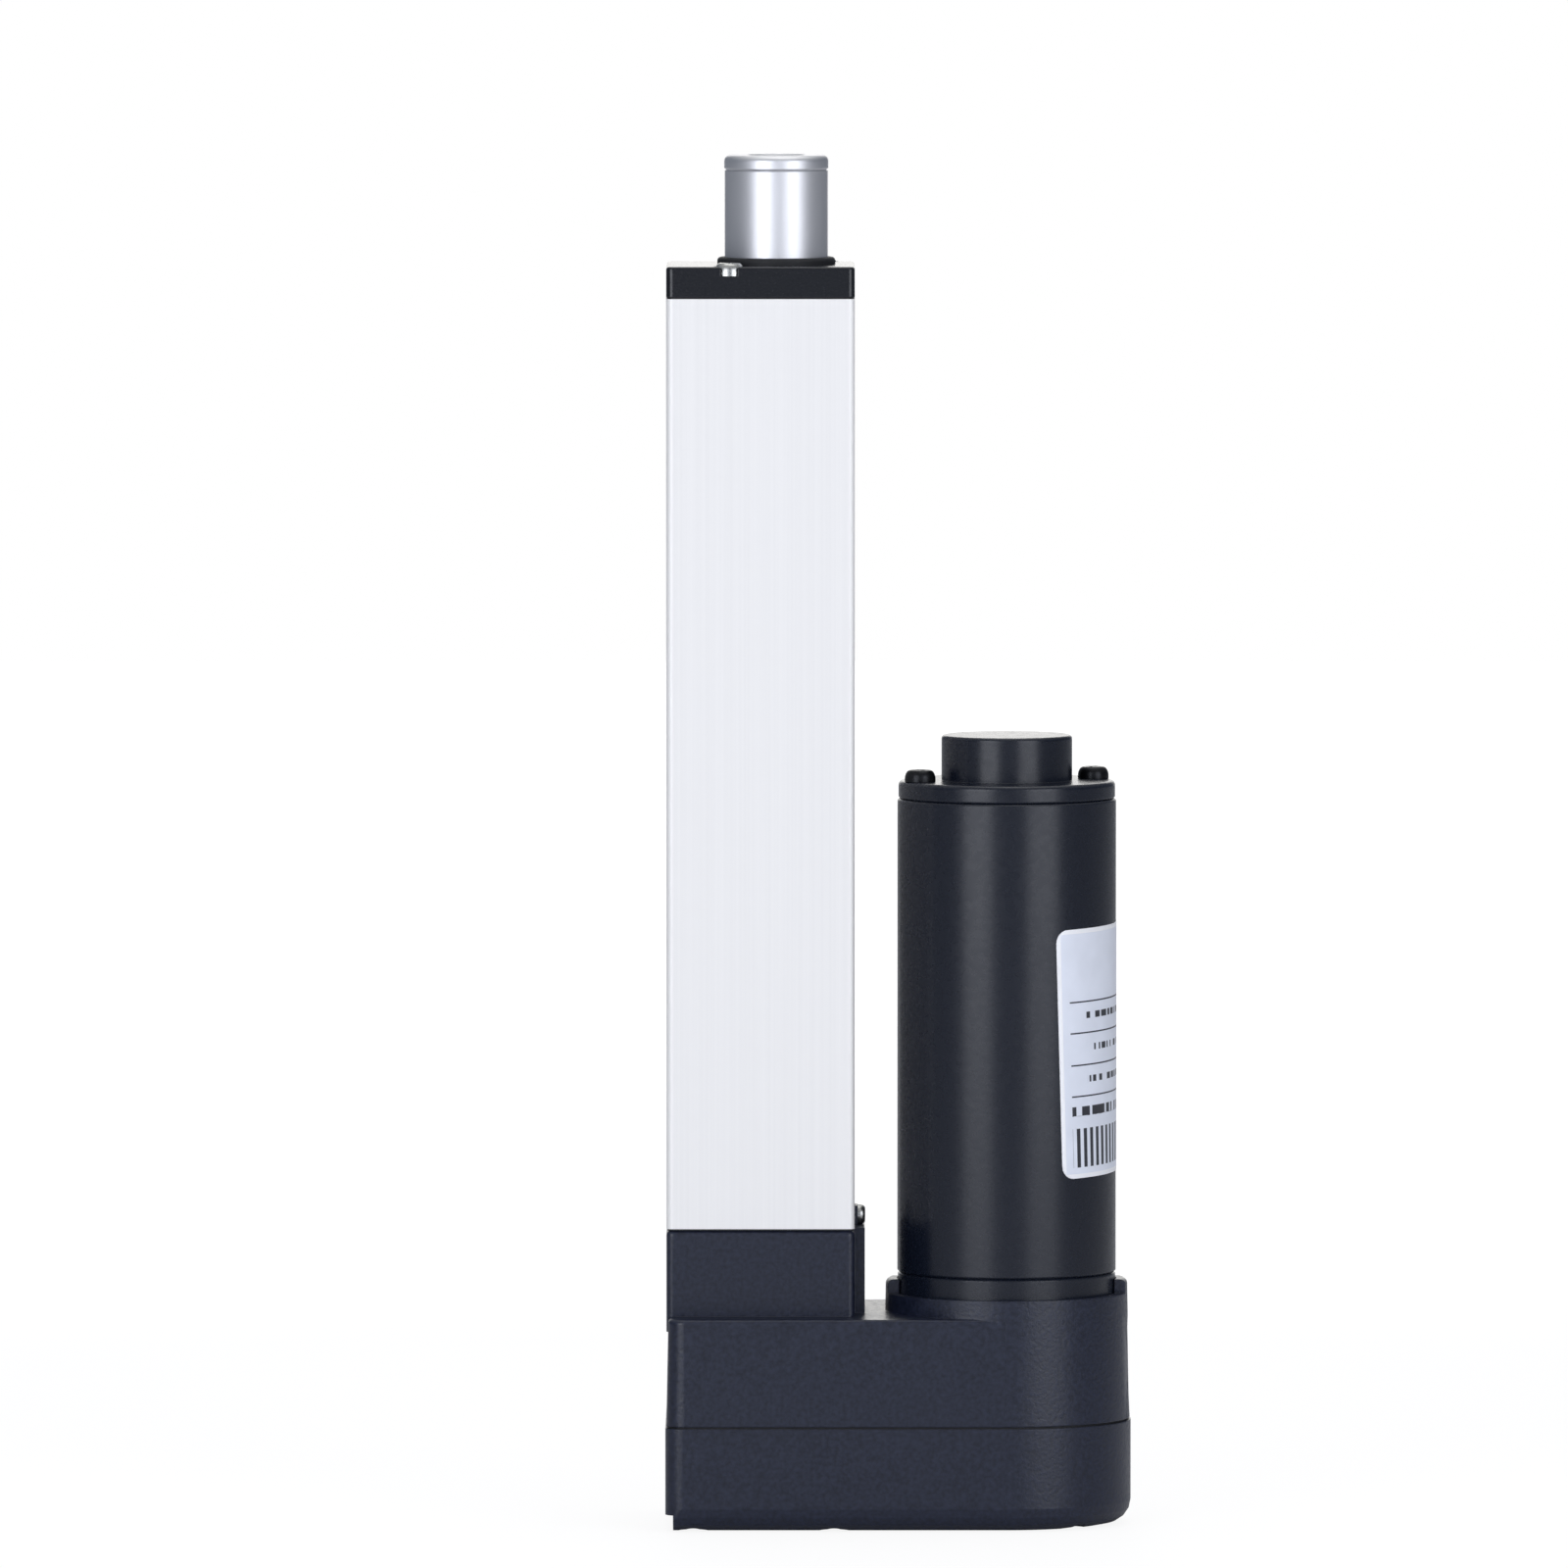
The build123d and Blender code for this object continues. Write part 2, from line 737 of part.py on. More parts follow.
def make_lead_screw():
    """Screw with two journals, a gear seat with a keyway and a plain tip."""
    journal = bar(0, 0, screw_foot_z, upper_bearing_top, journal_radius)
    screw = journal + bar(0, 0, upper_bearing_top, screw_high, screw_radius)
    screw = chamfer(screw.edges().group_by(Axis.Z)[0], 0.5)
    screw += bar(0, 0, screw_high, screw_high + tip_guide_height + tip_overhang, journal_radius)
    return screw - key_shape()


def key_shape():
    """Square key between the screw and its wheel."""
    half = wheel_key_width / 2
    left = journal_radius - wheel_key_width * 0.6
    return block(left, left + 1.1 * wheel_key_width, -half, half, wheel_z, wheel_top)


def make_screw_wheel():
    """Last wheel of the train, keyed to the lead screw."""
    hub_low = lower_bearing_z + bearing_width + axial_play
    hub = journal_radius + hub_wall
    solid = wheel(0, wheel_z, wheel_top, journal_radius, hub, hub_low, wheel_top)
    return solid - key_shape()


def make_screw_circlips():
    """Clips on the screw: over the wheel, and under the upper bearing."""
    lower = sleeve(0, 0, wheel_top, wheel_top + circlip_height, shoulder_radius, journal_radius)
    upper_low = upper_bearing_z - circlip_height
    upper = sleeve(0, 0, upper_low, upper_bearing_z, shoulder_radius, journal_radius)
    half = clip_slot_width / 2
    slot = block(-shoulder_radius - 1, 0, -half, half, wheel_top, upper_bearing_z)
    shaft = bar(0, 0, wheel_top, upper_bearing_z, journal_radius)
    return Compound([(clip - (slot - shaft)).solid() for clip in (lower, upper)])


def make_upper_bearing_circlip():
    """Ring in the collar that holds the upper bearing down."""
    top = upper_bearing_top + retainer_height
    inner = bearing_outer_radius - retainer_overlap
    return sleeve(0, 0, upper_bearing_top, top, spigot_bore, inner)


def make_screw_tip_guide():
    """Plastic ring that centres the screw's tip inside the rod."""
    bore = rod_radius - rod_wall
    top = screw_high + tip_guide_height
    ring = bar(0, 0, screw_high, top, bore - slide_clearance)
    ring = chamfer(ring.edges().group_by(Axis.Z)[-1], 0.8)
    return ring - bar(0, 0, screw_high, top, journal_radius)


def make_idler_pinion():
    """Small gear of the idler with a hub for the large one."""
    solid = raised(gear_section(pinion_teeth, pi / pinion_teeth), idler_low, upper_wheel_z, idler_x)
    solid += bar(idler_x, 0, upper_wheel_z, upper_wheel_top, idler_hub_radius)
    return solid - bar(idler_x, 0, idler_low, upper_wheel_top, idler_pin_radius + idler_bush_wall)


def make_idler_wheel():
    """Large gear of the idler, pressed on the pinion's hub."""
    hub = idler_hub_radius + hub_wall
    return wheel(idler_x, upper_wheel_z, upper_wheel_top, idler_hub_radius, hub,
                 upper_wheel_z, upper_wheel_top)


def make_idler_bush():
    """Bronze bush in the idler."""
    outer = idler_pin_radius + idler_bush_wall
    bore = idler_pin_radius + running_clearance
    return sleeve(idler_x, 0, idler_low, upper_wheel_top, outer, bore)


def make_idler_pin():
    """Fixed pin of the idler, held in both halves of the housing."""
    pin = bar(idler_x, 0, idler_pin_low, idler_pin_high, idler_pin_radius)
    return chamfer(pin.edges().group_by(Axis.Z)[0], 0.4)


def make_idler_washers():
    """Thrust washers above and below the idler."""
    outer = idler_boss_radius - 0.4
    low = idler_low - axial_play
    high = upper_wheel_top + axial_play
    spans = ((low - idler_washer_height, low), (high, high + idler_washer_height))
    return Compound([sleeve(idler_x, 0, a, b, outer, idler_pin_radius).solid() for a, b in spans])


def board_left():
    """Left face of the switch board."""
    return -tube_left + channel_wall + channel_clearance + board_clearance


def make_outer_tube():
    """Extruded tube: round bore, switch channel with board grooves, and screw ports."""
    section = tube_plan() - channel_plan()
    groove_width = board_thickness + 2 * board_clearance
    groove = Rectangle(groove_width, board_groove)
    middle = board_left() + board_thickness / 2
    for side in (-1, 1):
        section -= Pos(middle, side * channel_half) * groove
    for x, y in port_places():
        section -= Pos(x, y) * Circle(port_radius)
    tube = raised(section, tube_low, tube_high)
    lock_z = collar_top + tab_height / 2
    return tube - lock_screw_shape(lock_z, lock_screw_radius, tube_right + 1)


def make_seal_sheet(low, with_ports):
    """Thin gasket with the tube's own outline."""
    section = tube_plan(0.2) - channel_plan()
    for x, y in with_ports:
        section -= Pos(x, y) * Circle(port_radius)
    return raised(section, low, low + seal_sheet_thickness)


def make_head_cap():
    """Black cap on the tube's head with two screw notches and the wiper's seat."""
    cap = raised(tube_plan(), cap_low, cap_high)
    cap = fillet(cap.edges().group_by(Axis.Z)[-1], cap_edge)
    seat = cap_high - cap_screw_sunk
    for x, y in head_screw_places():
        cap -= bar(x, y, seat, cap_high, cap_screw_head_radius + port_clearance)
        cap -= bar(x, y, cap_low, cap_high, port_radius)
    cap -= bar(0, 0, cap_low, cap_high, rod_radius + cap_clearance)
    cap -= bar(0, 0, cap_low, cap_low + seal_height, rod_radius + seal_thickness)
    return cap - bar(0, 0, cap_high - wiper_sunk, cap_high, wiper_radius)


def make_rod_seal():
    """Lip seal round the rod, under the head cap."""
    high = cap_low + seal_height
    lip = rod_radius + running_clearance
    ring = sleeve(0, 0, cap_low, high, rod_radius + seal_thickness, lip)
    groove_outer = rod_radius + seal_thickness * 0.6
    groove_inner = rod_radius + seal_thickness * 0.3
    return ring - sleeve(0, 0, high - seal_lip_depth, high, groove_outer, groove_inner)


def make_rod_wiper():
    """Wiper ring that stands proud of the head cap."""
    low = cap_high - wiper_sunk
    ring = bar(0, 0, low, wiper_high, wiper_radius)
    ring = fillet(ring.edges().group_by(Axis.Z)[-1], 0.7)
    return ring - bar(0, 0, low, wiper_high, rod_radius + running_clearance)


def make_guide_bush():
    """Plastic bush that guides the rod in the tube's head."""
    outer = tube_bore_radius - 0.05
    bush = sleeve(0, 0, bush_low, tube_high, outer, rod_radius + running_clearance)
    half = bush_groove_half
    groove = block(outer - bush_groove, outer + 1, -half, half, bush_low, tube_high - 3)
    for angle in (45, 135, 225, 315):
        bush -= Rot(0, 0, angle) * groove
    return bush


def make_inner_rod():
    """Polished rod tube."""
    high = rod_high - plug_band_height
    return sleeve(0, 0, rod_low, high, rod_radius, rod_radius - rod_wall)


def make_rod_end_plug():
    """Plug in the rod's end with the front mounting thread."""
    shoulder = rod_high - plug_band_height
    band = bar(0, 0, shoulder, rod_high, rod_radius + plug_band_lip)
    band = fillet(band.edges().group_by(Axis.Z)[-1], plug_edge)
    plug = band + bar(0, 0, shoulder - plug_depth, shoulder, rod_radius - rod_wall)
    plug -= bar(0, 0, rod_high - rod_thread_depth, rod_high, rod_thread_radius)
    return plug


def key_face():
    """Left face of the nut's key, where the striker stands."""
    return -tube_bore_radius - key_depth + key_root


def make_drive_nut():
    """Nut and carriage: it slides in the bore, and its key runs in the switch channel."""
    outer = tube_bore_radius - slide_clearance
    nut = bar(0, 0, carriage_low, carriage_high, outer)
    nut = chamfer(nut.edges().group_by(Axis.Z)[0] + nut.edges().group_by(Axis.Z)[-1], key_margin)
    key_right = -screw_radius - key_root
    half = channel_half - key_clearance
    key_low = carriage_low + key_margin
    nut += block(key_face(), key_right, -half, half, key_low, carriage_high - key_margin)
    nut += bar(0, 0, nut_low, carriage_low, spigot_bore - neck_clearance)
    nut -= bar(0, 0, nut_low, carriage_high, screw_radius + nut_clearance)
    nut -= bar(0, 0, rod_low, carriage_high, rod_radius)
    return nut - nut_pin_shape(outer + 1)


def nut_pin_shape(reach):
    """Two pins across the nut and the rod, front and back."""
    height = rod_low + nut_pin_rise
    start = rod_radius - rod_wall + 0.4
    pin = Cylinder(nut_pin_radius, reach - start, align=STANDING)
    front = Pos(0, -start, height) * Rot(90, 0, 0) * pin
    return front + Pos(0, start, height) * Rot(-90, 0, 0) * pin


def make_nut_pins():
    """Pins that lock the rod in the nut."""
    return nut_pin_shape(tube_bore_radius - slide_clearance - 0.2)


def make_switch_striker():
    """Ramp on the nut's key that passes the switch buttons."""
    left = key_face() - striker_depth
    low = carriage_low + striker_end
    high = carriage_high - striker_end
    ramp = block(left, key_face(), -striker_half, striker_half, low, high)
    return chamfer(ramp.edges().filter_by(Axis.Y).group_by(Axis.X)[0], striker_depth * 0.5)


def make_limit_switch_board():
    """Narrow circuit board along the channel."""
    left = board_left()
    half = channel_half + board_clearance
    low = tube_low + board_end_gap
    high = bush_low - board_end_gap
    return block(left, left + board_thickness, -half, half, low, high)


def make_limit_switches():
    """One switch for each end of the travel, with its button towards the striker."""
    right = board_left() + board_thickness
    low_y = striker_half + switch_button + channel_clearance
    first = carriage_low + carriage_height / 2
    switches = []
    for middle in (first, first + stroke):
        low = middle - switch_height / 2
        high = middle + switch_height / 2
        case = block(right, right + switch_depth, low_y, low_y + switch_width, low, high)
        button_left = right + switch_depth / 3
        button_right = right + switch_depth * 2 / 3
        button = block(button_left, button_right, low_y - switch_button, low_y, middle - 1, middle + 1)
        switches.append((case + button).solid())
    return Compound(switches)


def make_motor_gasket():
    """Ring under the motor in the cup."""
    outer = cup_bore_radius - motor_gasket_margin
    return sleeve(motor_x, 0, housing_top, motor_low, outer, outer - motor_gasket_width)


def make_motor_end_bell():
    """Drive end of the motor: it carries the bush, and its pilot centres it in the housing."""
    bore = motor_radius - motor_wall
    spigot_end = bell_high + bell_spigot
    floor_top = motor_low + bell_floor
    bush_top = bell_high + front_bush_rise
    bell = bar(motor_x, 0, motor_low, bell_high, motor_radius - bell_inset)
    bell = chamfer(bell.edges().group_by(Axis.Z)[-1], rim_break)
    bell += bar(motor_x, 0, bell_high, spigot_end, bore)
    bell -= bar(motor_x, 0, floor_top, spigot_end, bore - spigot_ring)
    bell += bar(motor_x, 0, ceiling_z + bell_spigot / 4, motor_low, pilot_radius)
    bell += bar(motor_x, 0, motor_low, bush_top, motor_bush_radius + motor_bush_wall)
    for x, y in bolt_places(mount_screw_circle, mount_screw_angle):
        bell += bar(x, y, motor_low, bell_high, bell_boss_radius)
        bell -= bar(x, y, motor_low, ceiling_z + mount_screw_length, bolt_radius)
    for x, y in bolt_places(bolt_circle_radius, bolt_angle):
        boss = bar(x, y, motor_low, spigot_end, bell_boss_radius)
        bell += boss & bar(motor_x, 0, motor_low, spigot_end, bore)
        bell -= bar(x, y, motor_low + bolt_end_gap, spigot_end, bolt_radius)
    bell -= bar(motor_x, 0, bush_top - motor_bush_height, bush_top, motor_bush_radius)
    return bell - bar(motor_x, 0, ceiling_z, bush_top, motor_shaft_radius + shaft_clearance)


def make_motor_bushes():
    """Sintered bushes at both ends of the motor's shaft."""
    front_top = bell_high + front_bush_rise
    rear_low = motor_high - rear_bush_sunk
    bore = motor_shaft_radius + running_clearance
    spans = ((front_top - motor_bush_height, front_top), (rear_low, rear_low + motor_bush_height))
    return Compound([sleeve(motor_x, 0, a, b, motor_bush_radius, bore).solid() for a, b in spans])


def make_motor_can():
    """Drawn steel can, the motor's flux ring."""
    can = bar(motor_x, 0, bell_high, can_high, motor_radius)
    can = chamfer(can.edges().group_by(Axis.Z)[0], rim_break)
    can = chamfer(can.edges().group_by(Axis.Z)[-1], rim_break)
    return can - bar(motor_x, 0, bell_high, can_high, motor_radius - motor_wall)


def make_motor_end_cap():
    """End cap of the motor with the round boss over the rear bush."""
    cap = bar(motor_x, 0, can_high, motor_high, motor_radius - end_cap_inset)
    cap = fillet(cap.edges().group_by(Axis.Z)[-1], end_cap_round)
    cap = chamfer(cap.edges().group_by(Axis.Z)[0], rim_break)
    boss = bar(motor_x, 0, motor_high - 1, motor_high + boss_cap_height, boss_cap_radius)
    cap += fillet(boss.edges().group_by(Axis.Z)[-1], boss_cap_round)
    inner = motor_radius - motor_wall
    spigot_low = can_high - end_cap_spigot
    cap += sleeve(motor_x, 0, spigot_low, can_high, inner, inner - spigot_ring)
    bush_low_end = motor_high - rear_bush_sunk
    cap -= bar(motor_x, 0, can_high, bush_low_end, motor_bush_radius + 1)
    cap -= bar(motor_x, 0, bush_low_end, bush_low_end + motor_bush_height, motor_bush_radius)
    for x, y in bolt_places(bolt_circle_radius, bolt_angle):
        cap -= bar(x, y, spigot_low, motor_high, bolt_radius + screw_hole_clearance)
    return cap


def make_motor_magnets():
    """Two curved magnets in the can, clear of the through bolts."""
    inner = armature_radius + magnet_gap
    outer = motor_radius - motor_wall
    low = (armature_low + armature_high - magnet_length) / 2
    ring = sleeve(motor_x, 0, low, low + magnet_length, outer, inner)
    reach = 2 * motor_radius
    magnets = []
    for side in (90.0, 270.0):
        first = radians(bolt_angle + side - magnet_half_angle)
        last = radians(bolt_angle + side + magnet_half_angle)
        middle = radians(bolt_angle + side)
        fan = Polyline(
            (0, 0),
            (reach * cos(first), reach * sin(first)),
            (reach * 2 * cos(middle), reach * 2 * sin(middle)),
            (reach * cos(last), reach * sin(last)),
            close=True,
        )
        wedge = raised(make_face(fan), low, low + magnet_length, motor_x)
        magnets.append((ring & wedge).solid())
    return Compound(magnets)


def make_motor_shaft():
    """Motor shaft from the pinion to the rear bush."""
    shaft = bar(motor_x, 0, shaft_low, shaft_high, motor_shaft_radius)
    ends = shaft.edges().filter_by(GeomType.CIRCLE)
    return chamfer(ends, shaft_bevel)


def make_motor_pinion():
    """First gear of the train, on the motor's shaft."""
    high = upper_wheel_top + pinion_overlap
    solid = raised(gear_section(pinion_teeth, pi / pinion_teeth), pinion_low, high, motor_x)
    return solid - bar(motor_x, 0, pinion_low, high, motor_shaft_radius)


def make_armature_core():
    """Stack of laminations with winding slots."""
    section = Circle(armature_radius) - Circle(motor_shaft_radius)
    for index in range(armature_slots):
        turn = Rot(0, 0, 360 * index / armature_slots)
        reach = armature_radius - slot_depth
        section -= turn * Pos(reach + slot_depth / 2, 0) * Rectangle(slot_depth + 1, slot_opening)
        section -= turn * Pos(reach + slot_radius, 0) * Circle(slot_radius)
    return raised(section, armature_low, armature_high, motor_x)


def make_armature_windings():
    """Copper end turns above and below the laminations."""
    bore = motor_shaft_radius + winding_bore_gap
    coils = []
    for low, outer_end in ((armature_low - winding_height, 0), (armature_high, -1)):
        high = low + winding_height
        coil = bar(motor_x, 0, low, high, winding_radius)
        coil = chamfer(coil.edges().group_by(Axis.Z)[outer_end], winding_bevel)
        coils.append((coil - bar(motor_x, 0, low, high, bore)).solid())
    return Compound(coils)


def make_commutator():
    """Commutator with separate bars."""
    section = Circle(commutator_radius) - Circle(motor_shaft_radius)
    for index in range(commutator_bars):
        turn = Rot(0, 0, 360 * (index + 0.5) / commutator_bars)
        section -= turn * Pos(commutator_radius, 0) * Rectangle(2 * bar_depth, bar_gap)
    return raised(section, commutator_low, commutator_high, motor_x)


def brush_reach():
    """Radius at which a brush begins."""
    return commutator_radius + brush_clearance


def make_brushes():
    """Two carbon brushes against the commutator."""
    start = brush_reach()
    low = holder_z + holder_thickness
    half = brush_width / 2
    brushes = []
    for side in (-1, 1):
        ends = sorted((side * start, side * (start + brush_length)))
        brush = block(motor_x - half, motor_x + half, ends[0], ends[1], low, low + brush_height)
        brushes.append((brush - bar(motor_x, 0, low, low + brush_height, start)).solid())
    return Compound(brushes)


def make_brush_holder():
    """Insulating plate with a guide box for each brush."""
    outer = motor_radius - motor_wall
    plate = sleeve(motor_x, 0, holder_z, holder_z + holder_thickness, outer, holder_bore)
    low = holder_z + holder_thickness
    half = brush_width / 2
    for side in (-1, 1):
        ends = sorted((side * holder_bore, side * (brush_reach() + brush_length + holder_gap)))
        box_top = low + brush_height + brush_guide_wall
        plate += block(motor_x - half - brush_guide_wall, motor_x + half + brush_guide_wall,
                       ends[0], ends[1], low, box_top)
        plate -= block(motor_x - half, motor_x + half, ends[0] - 1, ends[1] + 1, low, low + brush_height)
    for x, y in bolt_places(bolt_circle_radius, bolt_angle):
        plate -= bar(x, y, holder_z, low, bolt_radius + screw_hole_clearance)
    return plate


def make_brush_springs():
    """Bent strip springs that push the brushes inwards."""
    low = holder_z + holder_thickness + spring_margin
    high = low + brush_height - 2 * spring_margin
    start = brush_reach() + brush_length
    half = brush_width / 2 - spring_margin
    springs = []
    for side in (-1, 1):
        line = Polyline(
            (-half, start + spring_length),
            (half, start + spring_length * 0.77),
            (-half, start + spring_length * 0.46),
            (half, start + spring_thickness),
        )
        strip = trace(line, spring_thickness)
        turn = Rot(0, 0, 0 if side > 0 else 180)
        springs.append((Pos(motor_x, 0, 0) * turn * raised(strip, low, high)).solid())
    return Compound(springs)


def make_pieces():
    """Every piece of the actuator by name."""
    lower_inner, lower_outer = race_sections(lower_bearing_z)
    upper_inner, upper_outer = race_sections(upper_bearing_z)
    return {
        "lower_cover": make_lower_cover(),
        "upper_housing": make_upper_housing(),
        "housing_gasket": make_housing_gasket(),
        "cover_screws": make_cover_screws(),
        "rear_mount_insert": make_rear_mount_insert(),
        "cable_gland": make_cable_gland(),
        "lower_bearing_outer_ring": turned(lower_outer),
        "lower_bearing_inner_ring": turned(lower_inner),
        "lower_bearing_balls": make_ball_set(lower_bearing_z),
        "upper_bearing_outer_ring": turned(upper_outer),
        "upper_bearing_inner_ring": turned(upper_inner),
        "upper_bearing_balls": make_ball_set(upper_bearing_z),
        "upper_bearing_circlip": make_upper_bearing_circlip(),
        "screw_circlips": make_screw_circlips(),
        "lead_screw": make_lead_screw(),
        "screw_wheel": make_screw_wheel(),
        "wheel_key": key_shape(),
        "screw_tip_guide": make_screw_tip_guide(),
        "idler_pinion": make_idler_pinion(),
        "idler_wheel": make_idler_wheel(),
        "idler_bush": make_idler_bush(),
        "idler_pin": make_idler_pin(),
        "idler_washers": make_idler_washers(),
        "outer_tube": make_outer_tube(),
        "tube_gasket": make_seal_sheet(collar_top, port_places()),
        "tube_screws": make_tube_screws(),
        "tube_lock_screw": make_tube_lock_screw(),
        "head_cap": make_head_cap(),
        "cap_gasket": make_seal_sheet(tube_high, head_screw_places()),
        "head_cap_screws": make_head_cap_screws(),
        "guide_bush": make_guide_bush(),
        "rod_seal": make_rod_seal(),
        "rod_wiper": make_rod_wiper(),
        "inner_rod": make_inner_rod() - make_nut_pins(),
        "rod_end_plug": make_rod_end_plug(),
        "drive_nut": make_drive_nut(),
        "nut_pins": make_nut_pins(),
        "switch_striker": make_switch_striker(),
        "limit_switch_board": make_limit_switch_board(),
        "limit_switches": make_limit_switches(),
        "motor_gasket": make_motor_gasket(),
        "motor_end_bell": make_motor_end_bell(),
        "motor_bushes": make_motor_bushes(),
        "motor_can": make_motor_can(),
        "motor_end_cap": make_motor_end_cap(),
        "motor_magnets": make_motor_magnets(),
        "motor_through_bolts": make_motor_through_bolts(),
        "motor_mount_screws": make_motor_mount_screws(),
        "motor_shaft": make_motor_shaft(),
        "motor_pinion": make_motor_pinion(),
        "armature_core": make_armature_core(),
        "armature_windings": make_armature_windings(),
        "commutator": make_commutator(),
        "brush_holder": make_brush_holder(),
        "brushes": make_brushes(),
        "brush_springs": make_brush_springs(),
    }


os.makedirs("parts", exist_ok=True)
for name, piece in make_pieces().items():
    export_step(piece, f"parts/{name}.step")
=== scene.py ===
from math import cos, hypot, pi, radians, sin, sqrt

import bmesh
import bpy
from bpy.props import FloatProperty, FloatVectorProperty, PointerProperty
from bpy.types import Operator, Panel, PropertyGroup
from mathutils import Matrix, Vector


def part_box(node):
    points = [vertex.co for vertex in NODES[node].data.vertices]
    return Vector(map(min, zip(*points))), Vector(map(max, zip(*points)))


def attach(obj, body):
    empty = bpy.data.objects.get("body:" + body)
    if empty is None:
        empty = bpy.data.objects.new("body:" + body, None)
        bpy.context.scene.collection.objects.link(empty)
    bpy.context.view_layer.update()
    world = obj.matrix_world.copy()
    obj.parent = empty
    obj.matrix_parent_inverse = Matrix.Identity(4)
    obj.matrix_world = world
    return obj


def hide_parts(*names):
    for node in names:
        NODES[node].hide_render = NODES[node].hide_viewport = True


bl_info = {
    "name": "Linear actuator finishes",
    "version": (1, 0, 0),
    "blender": (4, 5, 0),
    "location": "View3D > Sidebar > Actuator",
    "description": "Dresses an electric linear actuator and sets its studio",
    "category": "Object",
}

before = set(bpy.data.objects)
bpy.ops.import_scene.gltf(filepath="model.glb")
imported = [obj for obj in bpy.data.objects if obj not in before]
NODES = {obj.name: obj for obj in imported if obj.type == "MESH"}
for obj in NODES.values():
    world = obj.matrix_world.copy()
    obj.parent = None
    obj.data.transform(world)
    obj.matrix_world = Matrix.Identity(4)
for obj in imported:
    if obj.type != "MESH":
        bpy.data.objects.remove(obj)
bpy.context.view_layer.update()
MM = 0.001
# Distances in metres under which two points count as one, fine and coarse.
SNAP = 1e-7
WELD = 1e-6
# Heights of the sticker's ruling and print, as shares of its height.
RULES = (0.707, 0.582, 0.453, 0.328)
FINE_ROWS = (0.652, 0.523, 0.396)
BOLD_ROW = 0.268
BAR_ROW = 0.121
# Even upright bars across the sticker's whole width.
BAR_COUNT = 21.0


def from_hex(code, alpha=1.0):
    """Turns an sRGB hex colour into the linear colour that shaders use."""
    channels = [int(code[index:index + 2], 16) / 255 for index in (0, 2, 4)]
    linear = [c / 12.92 if c <= 0.04045 else ((c + 0.055) / 1.055) ** 2.4 for c in channels]
    return (*linear, alpha)


def node_span(node):
    """Lowest and highest corner of a CAD node in metres."""
    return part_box(node)


def node_axis(node):
    """Middle of a CAD node in plan."""
    low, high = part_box(node)
    return (low.x + high.x) / 2, (low.y + high.y) / 2


CAN_LOW, CAN_HIGH = node_span("motor_can")
MOTOR_X, MOTOR_Y = node_axis("motor_can")
CAN_RADIUS = (CAN_HIGH.x - CAN_LOW.x) / 2


def colour(title, words, code):
    """A colour setting with its default written as hex."""
    return FloatVectorProperty(name=title, description=words, subtype="COLOR", size=4,
                               min=0.0, max=1.0, default=from_hex(code))


def length(title, words, value):
    """A length setting in metres, given in millimetres."""
    return FloatProperty(name=title, description=words, subtype="DISTANCE", unit="LENGTH",
                         default=value * MM, precision=5)


class ActuatorSizes(PropertyGroup):
    """Sizes that a user would change."""

    label_width: length("Label width", "Width of the sticker round the motor", 38.0)
    label_height: length("Label height", "Height of the sticker", 48.4)
    label_corner: length("Label corner", "Radius of the sticker's corners", 2.6)
    label_thickness: length("Label thickness", "How far the sticker stands off the can", 0.09)
    label_foot: length("Label foot", "Height of the sticker's lower edge over the base", 68.6)
    label_start: FloatProperty(name="Label start", subtype="ANGLE", default=radians(28.0),
                               description="Angle of the sticker's left edge from the front")
    label_tilt: FloatProperty(name="Label tilt", subtype="ANGLE", default=radians(1.8),
                              description="How far the sticker was stuck on crooked")
    screw_pitch: length("Screw pitch", "Lead of the trapezoidal screw", 3.0)
    mount_pitch: length("Mount pitch", "Pitch of the coarse M10 threads", 1.5)
    powder_grain: length("Powder grain", "Size of the powder coat's mottle", 0.8)
    extrusion_line: length("Extrusion line", "Width of the die lines on the tube", 0.45)
    edge_break: length("Edge break", "Rounding of the castings' edges", 0.35)


class ActuatorColours(PropertyGroup):
    """Colours that a user would change."""

    powder: colour("Powder coat", "Gear housing", "1b2031")
    enamel: colour("Enamel", "Motor", "121723")
    nylon: colour("Nylon", "Head cap and gland", "080b13")
    anodised: colour("Anodised aluminium", "Tube", "fbf9f6")
    rod: colour("Ground steel", "Rod and rod end", "e6e6e8")
    zinc: colour("Zinc plate", "Screws", "c4c4c0")
    oxide: colour("Black oxide", "Motor bolts and cover screws", "17181c")
    rubber: colour("Rubber", "Seals and wiper", "101114")
    paper: colour("Sticker", "Face of the sticker", "eef2fc")
    ink: colour("Ink", "Ruling on the sticker", "33343a")


def settings():
    """The two groups of settings on the scene."""
    scene = bpy.context.scene
    return scene.actuator_sizes, scene.actuator_colours


def add_node(tree, kind, inputs=None, **options):
    """Adds a node, sets its options, and fills or links its inputs by name or number."""
    node = tree.nodes.new(kind)
    for key, value in options.items():
        setattr(node, key, value)
    for key, value in (inputs or {}).items():
        if isinstance(value, bpy.types.NodeSocket):
            tree.links.new(value, node.inputs[key])
        else:
            node.inputs[key].default_value = value
    return node


def new_surface(name, base, metallic, roughness, **sockets):
    """A principled surface; returns the material, its tree and its shader."""
    material = bpy.data.materials.new(name)
    material.use_nodes = True
    tree = material.node_tree
    shader = tree.nodes["Principled BSDF"]
    values = {"Base Color": base, "Metallic": metallic, "Roughness": roughness}
    values.update({key.replace("_", " "): value for key, value in sockets.items()})
    for key, value in values.items():
        shader.inputs[key].default_value = value
    return material, tree, shader


